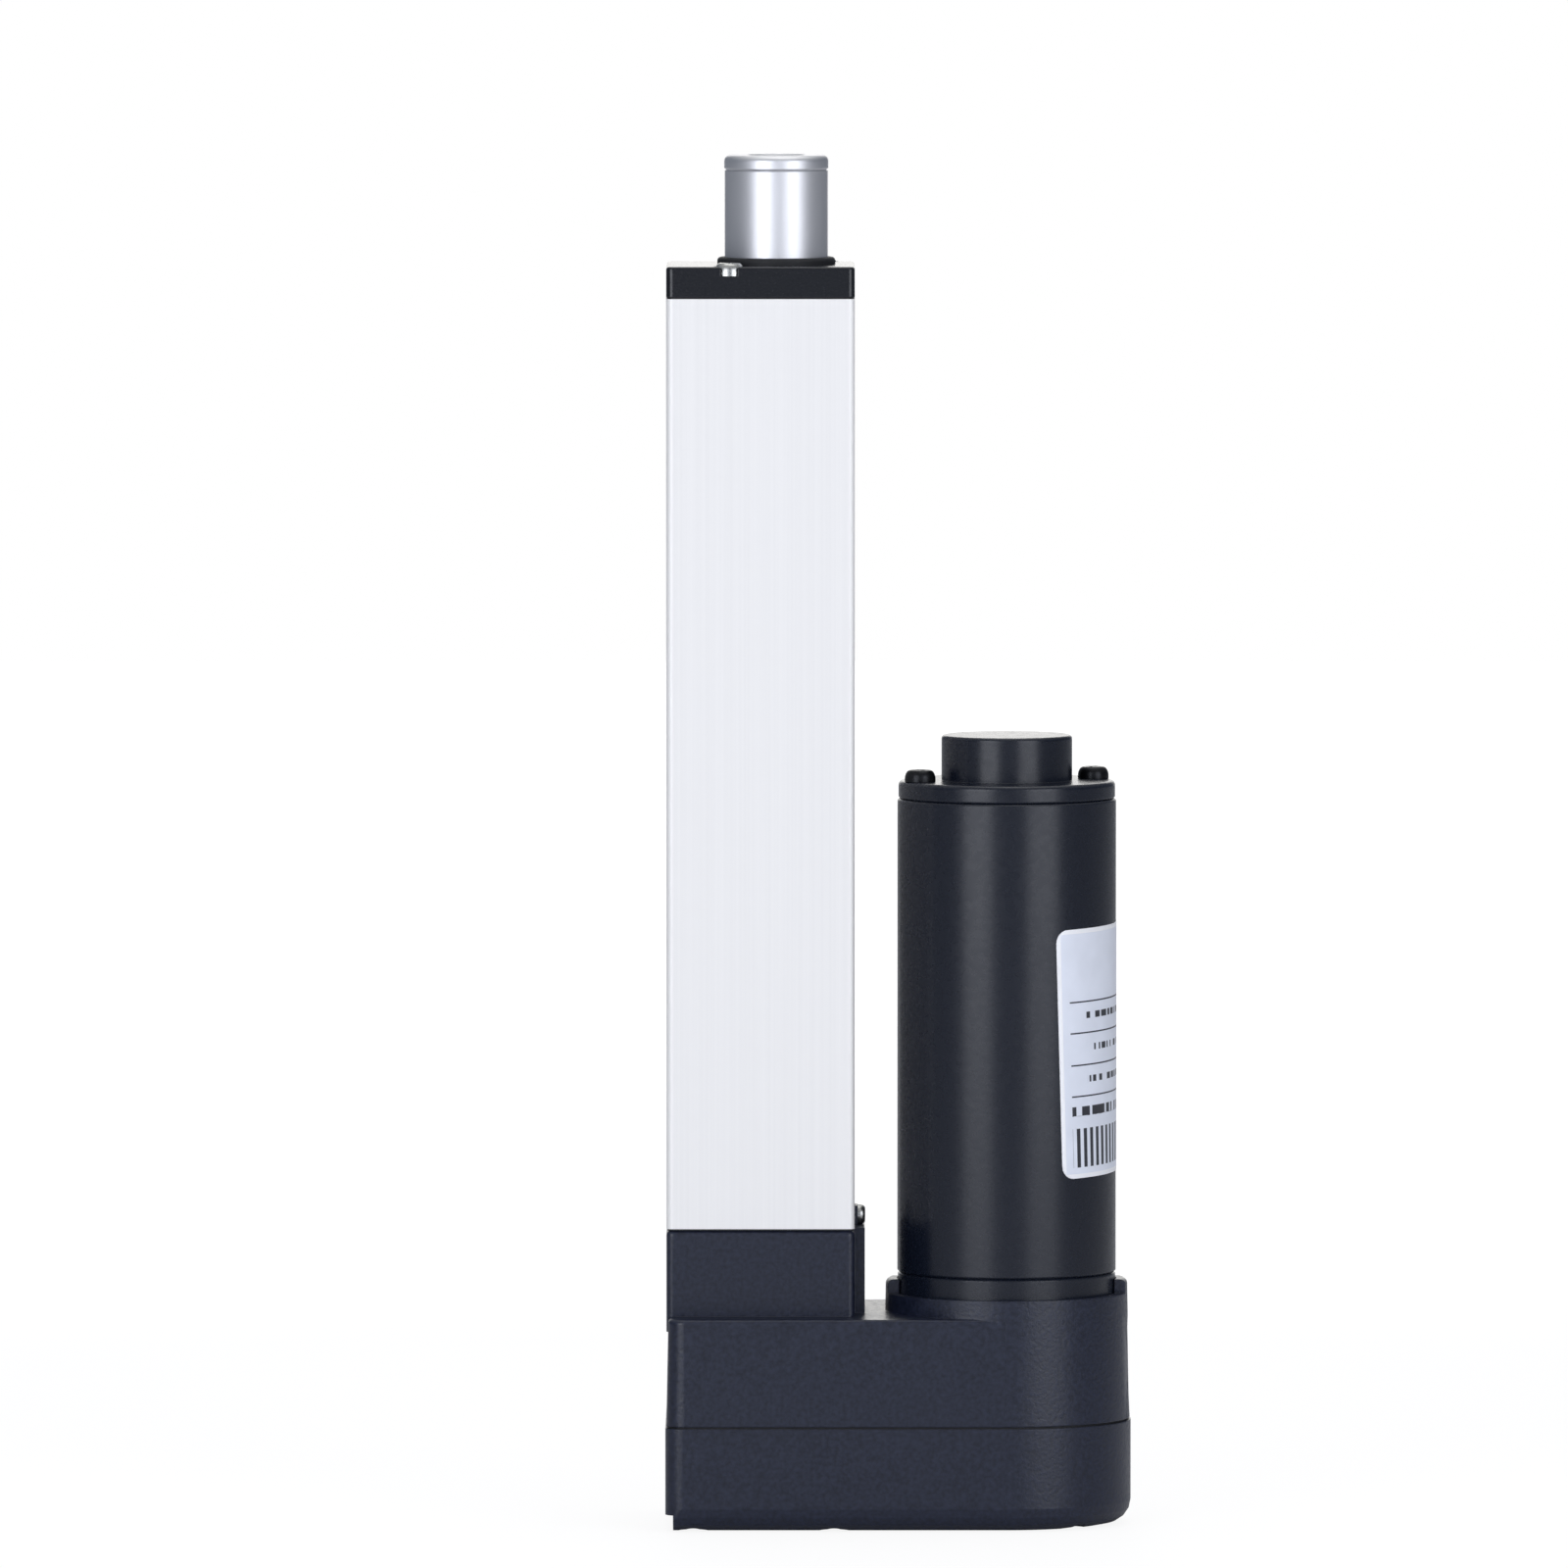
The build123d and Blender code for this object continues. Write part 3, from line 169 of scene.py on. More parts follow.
def vary(tree, shader, pattern, socket, low, high):
    """Lets a pattern from 0 to 1 move a number or colour of the shader between two values."""
    if socket == "Base Color":
        mixed = add_node(tree, "ShaderNodeMix", {0: pattern, 6: low, 7: high}, data_type="RGBA")
        tree.links.new(mixed.outputs[2], shader.inputs[socket])
    else:
        ranged = add_node(tree, "ShaderNodeMapRange", {"Value": pattern, "To Min": low, "To Max": high})
        tree.links.new(ranged.outputs["Result"], shader.inputs[socket])


def darker(base, share):
    """The same colour with each channel scaled."""
    return (base[0] * share, base[1] * share, base[2] * share, 1.0)


def grain(tree, size, stretch=(1.0, 1.0, 1.0), detail=2.0):
    """Noise from 0 to 1 with cells as large as the given size, longer along an axis by the stretch."""
    place = add_node(tree, "ShaderNodeTexCoord")
    scaled = add_node(tree, "ShaderNodeMapping",
                      {"Vector": place.outputs["Object"], "Scale": tuple(1 / s for s in stretch)})
    noise = add_node(tree, "ShaderNodeTexNoise",
                     {"Vector": scaled.outputs["Vector"], "Scale": 1 / size, "Detail": detail})
    spread = add_node(tree, "ShaderNodeMapRange",
                      {"Value": noise.outputs["Fac"], "From Min": 0.3, "From Max": 0.7})
    return spread.outputs["Result"]


def raise_surface(tree, shader, height, depth, strength, edge=0.0):
    """Bumps the surface by a pattern, over edges rounded by the given radius."""
    inputs = {"Height": height, "Distance": depth, "Strength": strength}
    if edge > 0.0:
        rounded = add_node(tree, "ShaderNodeBevel", {"Radius": edge}, samples=6)
        inputs["Normal"] = rounded.outputs["Normal"]
    bump = add_node(tree, "ShaderNodeBump", inputs)
    tree.links.new(bump.outputs["Normal"], shader.inputs["Normal"])


def powder_coat():
    """Black polyester powder coat, baked on a zinc die casting."""
    sizes, colours = settings()
    base = tuple(colours.powder)
    material, tree, shader = new_surface("powder_coated_zinc", base, 0.0, 0.34, IOR=1.48)
    # The baked powder flows into a shallow mottle, which breaks the soft highlight into specks.
    mottle = grain(tree, sizes.powder_grain)
    vary(tree, shader, mottle, "Base Color", darker(base, 0.7), darker(base, 1.3))
    vary(tree, shader, mottle, "Roughness", 0.29, 0.40)
    raise_surface(tree, shader, mottle, 0.05 * MM, 0.5, sizes.edge_break)
    return material


def stoved_enamel():
    """Satin black enamel, stoved on drawn steel."""
    sizes, colours = settings()
    base = tuple(colours.enamel)
    material, tree, shader = new_surface("stoved_enamel_steel", base, 0.0, 0.27, IOR=1.46)
    # Sprayed enamel has a wide, very shallow orange peel that softens the long highlights.
    peel = grain(tree, 1.6 * MM, detail=1.0)
    vary(tree, shader, peel, "Roughness", 0.25, 0.30)
    raise_surface(tree, shader, peel, 0.02 * MM, 0.25, sizes.edge_break)
    return material


def moulded_nylon():
    """Black nylon with glass fibre, injection moulded."""
    sizes, colours = settings()
    base = tuple(colours.nylon)
    material, tree, shader = new_surface("glass_filled_nylon", base, 0.0, 0.24, IOR=1.53)
    # Fibres at the skin give a fine dull grain.
    fibres = grain(tree, 0.5 * MM, detail=3.0)
    vary(tree, shader, fibres, "Roughness", 0.21, 0.28)
    raise_surface(tree, shader, fibres, 0.02 * MM, 0.3, sizes.edge_break)
    return material


def anodised_aluminium():
    """Extruded aluminium, etched and clear anodised."""
    sizes, colours = settings()
    base = tuple(colours.anodised)
    # The etched skin scatters like a pale paint, so only a small part of it acts as bare metal.
    material, tree, shader = new_surface("anodised_aluminium", base, 0.1, 0.40)
    # Die lines run the whole length of the profile as faint lighter and darker streaks.
    lines = grain(tree, sizes.extrusion_line, stretch=(1.0, 1.0, 400.0), detail=3.0)
    vary(tree, shader, lines, "Base Color", darker(base, 0.965), base)
    vary(tree, shader, lines, "Roughness", 0.37, 0.43)
    raise_surface(tree, shader, lines, 0.002 * MM, 0.25, 0.2 * MM)
    return material


def ground_steel(name, base, roughness, line_size):
    """Steel ground or turned between centres, which leaves fine rings round the axis."""
    material, tree, shader = new_surface(name, base, 1.0, roughness)
    # The grinding rings are finer than a pixel, so they only widen the highlight unevenly.
    rings = grain(tree, line_size, stretch=(60.0, 60.0, 1.0), detail=2.0)
    vary(tree, shader, rings, "Roughness", roughness * 0.92, roughness * 1.08)
    raise_surface(tree, shader, rings, 0.002 * MM, 0.15, 0.12 * MM)
    return material


def plated_steel(name, base, roughness, metallic=1.0):
    """Small steel parts, tumbled and plated or blackened."""
    material, tree, shader = new_surface(name, base, metallic, roughness)
    # Tumbling leaves a fine irregular skin under the plating.
    skin = grain(tree, 0.35 * MM)
    vary(tree, shader, skin, "Roughness", roughness * 0.8, roughness * 1.3)
    raise_surface(tree, shader, skin, 0.01 * MM, 0.3, 0.1 * MM)
    return material


def moulded_rubber():
    """Nitrile rubber, compression moulded."""
    colours = settings()[1]
    base = tuple(colours.rubber)
    material, tree, shader = new_surface("nitrile_rubber", base, 0.0, 0.62, IOR=1.52)
    bloom = grain(tree, 1.2 * MM)
    vary(tree, shader, bloom, "Base Color", base, darker(base, 1.7))
    vary(tree, shader, bloom, "Roughness", 0.55, 0.7)
    return material


def sintered_metal(name, base, metallic, roughness, pore):
    """Pressed and sintered powder with open pores."""
    material, tree, shader = new_surface(name, base, metallic, roughness)
    pores = grain(tree, pore, detail=4.0)
    vary(tree, shader, pores, "Base Color", darker(base, 0.72), base)
    vary(tree, shader, pores, "Roughness", roughness * 0.85, min(1.0, roughness * 1.2))
    raise_surface(tree, shader, pores, 0.02 * MM, 0.4)
    return material


def plain_moulding(name, base, roughness, size, ior=1.5):
    """Moulded or pressed plastic with a faint mottle."""
    material, tree, shader = new_surface(name, base, 0.0, roughness, IOR=ior)
    mottle = grain(tree, size)
    vary(tree, shader, mottle, "Base Color", darker(base, 0.9), darker(base, 1.08))
    vary(tree, shader, mottle, "Roughness", roughness * 0.88, roughness * 1.12)
    raise_surface(tree, shader, mottle, 0.01 * MM, 0.2)
    return material


def stacked_laminations():
    """Electrical steel sheet, stamped and stacked."""
    base = from_hex("63646a")
    material, tree, shader = new_surface("electrical_steel", base, 0.9, 0.42)
    # Each half millimetre sheet shows as a ring round the stack.
    sheet = 0.5 * MM
    # At scale 1 the wave texture repeats about 3.2 times a metre.
    waves = 3.2
    place = add_node(tree, "ShaderNodeTexCoord")
    sheets = add_node(tree, "ShaderNodeTexWave",
                      {"Vector": place.outputs["Object"], "Scale": 1 / sheet / waves},
                      bands_direction="Z")
    vary(tree, shader, sheets.outputs["Fac"], "Base Color", darker(base, 0.55), base)
    raise_surface(tree, shader, sheets.outputs["Fac"], 0.05 * MM, 0.5)
    return material


def enamelled_wire():
    """Enamelled copper wire, wound and varnished."""
    base = from_hex("a8572c")
    material, tree, shader = new_surface("enamelled_copper_wire", base, 0.85, 0.32)
    # Strands about half a millimetre thick cross each other in both directions.
    strands = grain(tree, 0.5 * MM, stretch=(1.0, 6.0, 1.0))
    vary(tree, shader, strands, "Base Color", darker(base, 0.5), base)
    raise_surface(tree, shader, strands, 0.2 * MM, 0.6)
    return material


def circuit_board():
    """Fibreglass board with green solder mask over copper tracks."""
    base = from_hex("175a33")
    material, tree, shader = new_surface("solder_mask_board", base, 0.0, 0.35, IOR=1.55)
    tracks = grain(tree, 1.4 * MM, stretch=(1.0, 1.0, 12.0))
    vary(tree, shader, tracks, "Base Color", base, from_hex("2b7a48"))
    raise_surface(tree, shader, tracks, 0.03 * MM, 0.3)
    return material


def printed_sticker():
    """Coated vinyl sticker with bars, ruling and rows of short strokes, and no lettering."""
    colours = settings()[1]
    paper, ink = tuple(colours.paper), tuple(colours.ink)
    material, tree, shader = new_surface("printed_vinyl_sticker", paper, 0.0, 0.38, IOR=1.5)
    place = add_node(tree, "ShaderNodeTexCoord")
    split = add_node(tree, "ShaderNodeSeparateXYZ", {"Vector": place.outputs["UV"]})
    across, upward = split.outputs["X"], split.outputs["Y"]

    def math(kind, first, second=0.0, third=0.0):
        """Output of one arithmetic node."""
        inputs = {0: first, 1: second, 2: third}
        return add_node(tree, "ShaderNodeMath", inputs, operation=kind).outputs[0]

    def band(value, middle, half):
        """1 where a value lies within a half width of a middle, else 0."""
        return math("COMPARE", value, middle, half)

    def cells(columns, rows):
        """Random value from 0 to 1 for each cell of a grid over the sticker."""
        column = math("FLOOR", math("MULTIPLY", across, columns))
        row = math("FLOOR", math("MULTIPLY", upward, rows))
        spot = add_node(tree, "ShaderNodeCombineXYZ", {0: column, 1: row})
        return add_node(tree, "ShaderNodeTexWhiteNoise", {"Vector": spot.outputs[0]}).outputs["Value"]

    # Even upright bars of one width, as plain ruling.
    bars = math("LESS_THAN", math("FRACT", math("MULTIPLY", across, BAR_COUNT)), 0.5)
    printed = math("MULTIPLY", bars, band(upward, BAR_ROW, 0.078))
    for level in RULES:
        printed = math("MAXIMUM", printed, band(upward, level, 0.003))
    # Rows of short upright strokes stand where a filled-in sticker has small print.
    gaps = math("GREATER_THAN", cells(9.0, 8.0), 0.2)
    fine = math("MULTIPLY", gaps, math("GREATER_THAN", cells(72.0, 8.0), 0.42))
    for level in FINE_ROWS:
        row = math("MULTIPLY", fine, band(upward, level, 0.013))
        printed = math("MAXIMUM", printed, math("MULTIPLY", row, band(across, 0.52, 0.34)))
    heavy = math("GREATER_THAN", cells(52.0, 8.0), 0.36)
    printed = math("MAXIMUM", printed, math("MULTIPLY", heavy, band(upward, BOLD_ROW, 0.019)))
    printed = math("MULTIPLY", printed, band(across, 0.5, 0.43))
    # Slight clouding of the print keeps the paper from looking like a flat fill.
    cloud = grain(tree, 6 * MM)
    clouded = add_node(tree, "ShaderNodeMix",
                       {0: cloud, 6: darker(paper, 0.94), 7: paper}, data_type="RGBA")
    inked = add_node(tree, "ShaderNodeMix",
                     {0: printed, 6: clouded.outputs[2], 7: ink}, data_type="RGBA")
    # The print stops short of the cut edge. This margin is painted whiter than the face, partly as
    # unprinted vinyl and partly as a painted highlight where the edge catches the light.
    field = math("MULTIPLY", band(across, 0.5, 0.475), band(upward, 0.5, 0.482))
    shown = add_node(tree, "ShaderNodeMix",
                     {0: field, 6: from_hex("fdfdff"), 7: inked.outputs[2]}, data_type="RGBA")
    tree.links.new(shown.outputs[2], shader.inputs["Base Color"])
    return material


def finish_with(material, *pieces):
    """Gives pieces or CAD nodes a material."""
    for piece in pieces:
        target = NODES[piece] if isinstance(piece, str) else piece
        target.data.materials.clear()
        target.data.materials.append(material)


def new_piece(name, mesh, body, material, smooth=radians(35)):
    """Adds a mesh as a piece that rides on a body."""
    piece = bpy.data.objects.new(name, mesh)
    bpy.context.scene.collection.objects.link(piece)
    mesh.materials.append(material)
    mesh.shade_smooth()
    mesh.set_sharp_from_angle(angle=smooth)
    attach(piece, body)
    return piece


def lathe_open(built, outline, segments):
    """Adds a surface of revolution about Z that is left open between its two ends."""
    rings = []
    for radius, height in outline:
        count = segments if radius > 0 else 1
        ring = []
        for step in range(count):
            angle = 2 * pi * step / segments
            ring.append(built.verts.new((radius * cos(angle), radius * sin(angle), height)))
        rings.append(ring)
    for first, second in zip(rings, rings[1:]):
        for step in range(segments):
            after = (step + 1) % segments
            corners = [first[step % len(first)], first[after % len(first)],
                       second[after % len(second)], second[step % len(second)]]
            unique = list(dict.fromkeys(corners))
            if len(unique) > 2:
                built.faces.new(unique)


def helix_wall(built, pitch, levels, low, high, segments):
    """Adds a threaded wall about Z; levels are (share of the pitch, radius)."""
    turns = int((high - low) / pitch) + 3
    rows = [(low + (turn - 1 + share) * pitch, radius)
            for turn in range(turns) for share, radius in levels]
    grid = []
    for height, radius in rows:
        row = []
        for step in range(segments):
            z = min(max(height + pitch * step / segments, low), high)
            angle = 2 * pi * step / segments
            row.append(built.verts.new((radius * cos(angle), radius * sin(angle), z)))
        grid.append(row)
    per_turn = len(levels)
    for index in range(len(grid) - 1):
        for step in range(segments):
            if step + 1 < segments:
                right = (grid[index][step + 1], grid[index + 1][step + 1])
            elif index + 1 + per_turn < len(grid):
                right = (grid[index + per_turn][0], grid[index + per_turn + 1][0])
            else:
                continue
            corners = (grid[index][step], right[0], right[1], grid[index + 1][step])
            # Turns cut off at an end lie flat in it and are left out.
            # Vertices are stored at single precision, so heights are compared with a tolerance.
            heights = [corner.co.z for corner in corners]
            if any(all(abs(z - end) < SNAP for z in heights) for end in (low, high)):
                continue
            built.faces.new(corners)
    loose = [vertex for vertex in built.verts if not vertex.link_faces]
    bmesh.ops.delete(built, geom=loose, context="VERTS")


def open_edges(built, height):
    """Joins double points and returns the open edges at one height."""
    bmesh.ops.remove_doubles(built, verts=built.verts[:], dist=SNAP)
    return [edge for edge in built.edges
            if edge.is_boundary and all(abs(vertex.co.z - height) < SNAP for vertex in edge.verts)]


def close_level(built, height):
    """Fills the flat ring between the open edges at one height."""
    edges = open_edges(built, height)
    bmesh.ops.triangle_fill(built, edges=edges, use_beauty=True, normal=(0, 0, 1))


def close_collar(built, height, near, rim):
    """Fills the flat ring from a threaded wall, by way of its radius near the rim, to a plain rim."""
    for edge in open_edges(built, height):
        start, end = (vertex.co.copy() for vertex in edge.verts)
        radius = hypot(start.x, start.y)
        across_flank = abs(radius - hypot(end.x, end.y)) > WELD
        if across_flank or abs(radius - rim) < WELD:
            continue
        radii = [radius, rim] if abs(radius - near) < WELD else [radius, near, rim]
        for first, second in zip(radii, radii[1:]):
            corners = [(start, first), (end, first), (end, second), (start, second)]
            spots = [(point.x * reach / radius, point.y * reach / radius, height)
                     for point, reach in corners]
            built.faces.new([built.verts.new(spot) for spot in spots])
    bmesh.ops.remove_doubles(built, verts=built.verts[:], dist=SNAP)


def into_mesh(built, name, outward=False):
    """Turns what was built into mesh data, with its faces turned outwards if wanted."""
    if outward:
        bmesh.ops.recalc_face_normals(built, faces=built.faces[:])
    mesh = bpy.data.meshes.new(name)
    built.to_mesh(mesh)
    built.free()
    return mesh


def cross_outline(reach, half, height):
    """Twelve corners of an upright cross at a height."""
    arm = ((reach, -half), (reach, half), (half, half))
    corners = []
    for turn in range(4):
        for x, y in arm:
            for _ in range(turn):
                x, y = -y, x
            corners.append((x, y, height))
    return corners


def pan_head(radius, height):
    """Pan head with a cross recess, seated at height 0 and facing up."""
    built = bmesh.new()
    side = 0.25 * height
    flat = 0.62 * radius
    mouth_arm, mouth_half = 0.58 * radius, 0.12 * radius
    floor_arm, floor_half, floor_height = 0.3 * radius, 0.09 * radius, 0.4 * height
    outline = [(0.0, 0.0), (radius, 0.0), (radius, side)]
    for step in range(1, 8):
        angle = pi / 2 * step / 7
        outline.append((flat + (radius - flat) * cos(angle), side + (height - side) * sin(angle)))
    lathe_open(built, outline, 36)
    rim = [edge for edge in built.edges if edge.is_boundary]
    mouth = [built.verts.new(spot) for spot in cross_outline(mouth_arm, mouth_half, height)]
    floor = [built.verts.new(spot) for spot in cross_outline(floor_arm, floor_half, floor_height)]
    for step in range(12):
        after = (step + 1) % 12
        built.faces.new((mouth[step], mouth[after], floor[after], floor[step]))
    built.faces.new(floor)
    lip = [edge for edge in built.edges if edge.is_boundary and edge not in rim]
    bmesh.ops.triangle_fill(built, edges=rim + lip, use_beauty=True, normal=(0, 0, 1))
    return into_mesh(built, "head", outward=True)


def screw_mesh(head, radius, pitch, shank):
    """Head mesh with a plain shank below it that ends in a thread."""
    built = bmesh.new()
    built.from_mesh(head)
    # Short screws are threaded for most of the shank, long ones at the end only.
    thread_length = min(0.8 * shank, 10 * MM)
    neck = thread_length - shank
    core = 0.84 * radius
    lathe_open(built, [(0.0, 0.0), (radius, 0.0), (radius, neck), (0.0, neck)], 20)
    thread = bmesh.new()
    levels = ((0.0, radius), (0.12, radius), (0.5, core), (0.62, core))
    helix_wall(thread, pitch, levels, -shank, neck, 20)
    bmesh.ops.remove_doubles(thread, verts=thread.verts[:], dist=WELD)
    ends = [edge for edge in thread.edges if edge.is_boundary]
    bmesh.ops.holes_fill(thread, edges=ends, sides=0)
    threaded = into_mesh(thread, "thread", outward=True)
    built.from_mesh(threaded)
    bpy.data.meshes.remove(threaded)
    return into_mesh(built, "screw")


def place_screws(name, node, places, spin, single, material):
    """Replaces a CAD node of screws by copies of one; places are (seat point, way the head faces)."""
    # No two screws of a set were driven home at the same angle.
    next_spin = 0.7
    built = bmesh.new()
    for index, (seat, way) in enumerate(places):
        copy = single.copy()
        turn = Vector((0, 0, 1)).rotation_difference(Vector(way)).to_matrix().to_4x4()
        twist = Matrix.Rotation(spin + next_spin * index, 4, "Z")
        copy.transform(Matrix.Translation(seat) @ turn @ twist)
        built.from_mesh(copy)
        bpy.data.meshes.remove(copy)
    piece = new_piece(name, into_mesh(built, name), "housing", material)
    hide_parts(node)


def screw_seats(node, head_up, head_height):
    """Axis and seat of each screw of a CAD node, from its connected solids."""
    mesh = NODES[node].data
    built = bmesh.new()
    built.from_mesh(mesh)
    bmesh.ops.remove_doubles(built, verts=built.verts[:], dist=WELD)
    seen, seats = set(), []
    for vertex in built.verts:
        if vertex in seen:
            continue
        group, queue = [], [vertex]
        seen.add(vertex)
        while queue:
            current = queue.pop()
            group.append(current.co.copy())
            for edge in current.link_edges:
                other = edge.other_vert(current)
                if other not in seen:
                    seen.add(other)
                    queue.append(other)
        low = Vector((min(c.x for c in group), min(c.y for c in group), min(c.z for c in group)))
        high = Vector((max(c.x for c in group), max(c.y for c in group), max(c.z for c in group)))
        middle = (low + high) / 2
        seat_z = high.z - head_height if head_up else low.z + head_height
        seats.append((Vector((middle.x, middle.y, seat_z)), (0, 0, 1 if head_up else -1)))
    built.free()
    return seats


class ACTUATOR_OT_stage(Operator):
    """Sets the floor, the studio light and the camera"""

    bl_idname = "actuator.stage"
    bl_label = "Stage and camera"

    def execute(self, context):
        self.make_world(context)
        self.make_floor(context)
        self.make_lamps(context)
        self.make_camera(context)
        context.scene.view_settings.view_transform = "Standard"
        return {"FINISHED"}

    def make_world(self, context):
        """Bright strip behind, dim ceiling and walls, grey card in front; the camera sees white."""
        world = bpy.data.worlds.new("studio")
        context.scene.world = world
        world.use_nodes = True
        tree = world.node_tree
        tree.nodes.clear()
        place = add_node(tree, "ShaderNodeTexCoord")
        split = add_node(tree, "ShaderNodeSeparateXYZ", {"Vector": place.outputs["Generated"]})
        aside = add_node(tree, "ShaderNodeMath", {0: split.outputs["X"]}, operation="ABSOLUTE")
        strip = add_node(tree, "ShaderNodeMapRange",
                         {"Value": aside.outputs[0], "From Min": 0.34, "From Max": 0.12,
                          "To Max": 2.1})
        rear = add_node(tree, "ShaderNodeMapRange",
                        {"Value": split.outputs["Y"], "From Min": 0.8, "From Max": 0.95})
        behind = add_node(tree, "ShaderNodeMath",
                          {0: strip.outputs["Result"], 1: rear.outputs["Result"]}, operation="MULTIPLY")
        above = add_node(tree, "ShaderNodeMapRange",
                         {"Value": split.outputs["Z"], "From Min": 0.35, "From Max": 0.85,
                          "To Max": 0.45})
        wall = add_node(tree, "ShaderNodeMath",
                        {0: behind.outputs[0], 1: above.outputs["Result"]}, operation="MAXIMUM")
        side = add_node(tree, "ShaderNodeMapRange",
                        {"Value": split.outputs["X"], "From Min": -1.0, "From Max": 1.0})
        walls = add_node(tree, "ShaderNodeMix",
                        {0: side.outputs["Result"], 6: from_hex("666d78"), 7: from_hex("5a606b")},
                        data_type="RGBA")
        front = add_node(tree, "ShaderNodeMapRange",
                         {"Value": split.outputs["Y"], "From Min": -0.85, "From Max": -0.97})
        room = add_node(tree, "ShaderNodeMix",
                        {0: front.outputs["Result"], 6: walls.outputs[2], 7: from_hex("9ca3b0")},
                        data_type="RGBA")
        shade = add_node(tree, "ShaderNodeMix",
                         {0: wall.outputs[0], 6: room.outputs[2], 7: (1.0, 1.0, 1.0, 1.0)},
                         data_type="RGBA", clamp_factor=False)
        soft = add_node(tree, "ShaderNodeBackground", {"Color": shade.outputs[2], "Strength": 1.0})
        white = add_node(tree, "ShaderNodeBackground", {"Color": (1.0, 1.0, 1.0, 1.0), "Strength": 1.0})
        path = add_node(tree, "ShaderNodeLightPath")
        mixed = add_node(tree, "ShaderNodeMixShader",
                         {0: path.outputs["Is Camera Ray"], 1: soft.outputs[0], 2: white.outputs[0]})
        add_node(tree, "ShaderNodeOutputWorld", {"Surface": mixed.outputs[0]})

    def make_floor(self, context):
        """Pale floor that keeps a faint shadow and fades into the white."""
        built = bmesh.new()
        bmesh.ops.create_circle(built, cap_ends=True, segments=96, radius=3.0)
        mesh = into_mesh(built, "floor")
        floor = bpy.data.objects.new("floor", mesh)
        # Just under the object's foot, so that the two faces don't flicker.
        floor.location.z = -0.2 * MM
        context.scene.collection.objects.link(floor)
        material, tree, shader = new_surface("painted_floor", from_hex("dadadc"), 0.0, 0.7)
        output = tree.nodes["Material Output"]
        # Near the object a fifth of the floor's own shading shows, which holds the shadow.
        glow = add_node(tree, "ShaderNodeEmission", {"Color": (1.0, 1.0, 1.0, 1.0), "Strength": 1.12})
        place = add_node(tree, "ShaderNodeTexCoord")
        away = add_node(tree, "ShaderNodeVectorMath", {0: place.outputs["Object"]}, operation="LENGTH")
        fade = add_node(tree, "ShaderNodeMapRange",
                        {"Value": away.outputs["Value"], "From Min": 0.4, "From Max": 1.4,
                         "To Min": 0.8})
        path = add_node(tree, "ShaderNodeLightPath")
        share = add_node(tree, "ShaderNodeMath",
                         {0: path.outputs["Is Camera Ray"], 1: fade.outputs["Result"]},
                         operation="MULTIPLY")
        mixed = add_node(tree, "ShaderNodeMixShader",
                         {0: share.outputs[0], 1: shader.outputs[0], 2: glow.outputs[0]})
        tree.links.new(mixed.outputs[0], output.inputs["Surface"])
        mesh.materials.append(material)

    def make_lamps(self, context):
        """Two tall soft boxes in front, left and right, and a soft one above."""
        middle = Vector((0.01, 0.0, 0.13))
        distance = 1.3
        rise = radians(6.0)
        # name, angle from the front, width, power
        boxes = (("left_box", -30.0, 0.72, 9.4), ("right_box", 39.0, 0.76, 8.4))
        for name, azimuth, width, power in boxes:
            lamp = self.soft_box(name, width, power)
            lamp.color = from_hex("eff2fa")[:3]
            angle = radians(azimuth)
            way = Vector((sin(angle) * cos(rise), -cos(angle) * cos(rise), sin(rise)))
            self.aim(context, name, lamp, middle + way * distance, middle)
        lamp = self.soft_box("top_box", 1.2, 5.0)
        self.aim(context, "top_box", lamp, middle + Vector((0.1, 0.25, 1.5)), middle)

    def soft_box(self, name, width, power):
        """Rectangular area lamp, 1.2 m tall."""
        lamp = bpy.data.lights.new(name, "AREA")
        lamp.shape = "RECTANGLE"
        lamp.size = width
        lamp.size_y = 1.2
        lamp.energy = power
        return lamp

    def make_camera(self, context):
        """Long lens straight in front, a little above the object."""
        frame_pixels, pixels_per_mm = 1600, 5.25
        frame_width = frame_pixels / pixels_per_mm * MM
        distance = 4.0
        elevation = radians(3.55)
        sensor = 36.0
        target = Vector((1.5 * MM, 0.0, 143.7 * MM))
        camera = bpy.data.cameras.new("camera")
        camera.sensor_width = sensor
        camera.lens = sensor * distance / frame_width
        camera.clip_end = 20.0
        spot = target + distance * Vector((0.0, -cos(elevation), sin(elevation)))
        self.aim(context, "camera", camera, spot, target)
        context.scene.camera = bpy.data.objects["camera"]

    def aim(self, context, name, data, spot, target):
        """Adds a lamp or camera at a spot, looking at a target."""
        item = bpy.data.objects.new(name, data)
        item.location = spot
        item.rotation_euler = (target - spot).to_track_quat("-Z", "Y").to_euler()
        context.scene.collection.objects.link(item)


class ACTUATOR_OT_housing(Operator):
    """Finishes the gear housing, its gaskets and the gland"""

    bl_idname = "actuator.housing"
    bl_label = "Gear housing"

    def execute(self, context):
        finish_with(powder_coat(), "lower_cover", "upper_housing")
        finish_with(moulded_nylon(), "head_cap", "cable_gland")
        finish_with(moulded_rubber(), "housing_gasket", "tube_gasket", "cap_gasket", "motor_gasket",
                    "rod_seal", "rod_wiper")
        return {"FINISHED"}


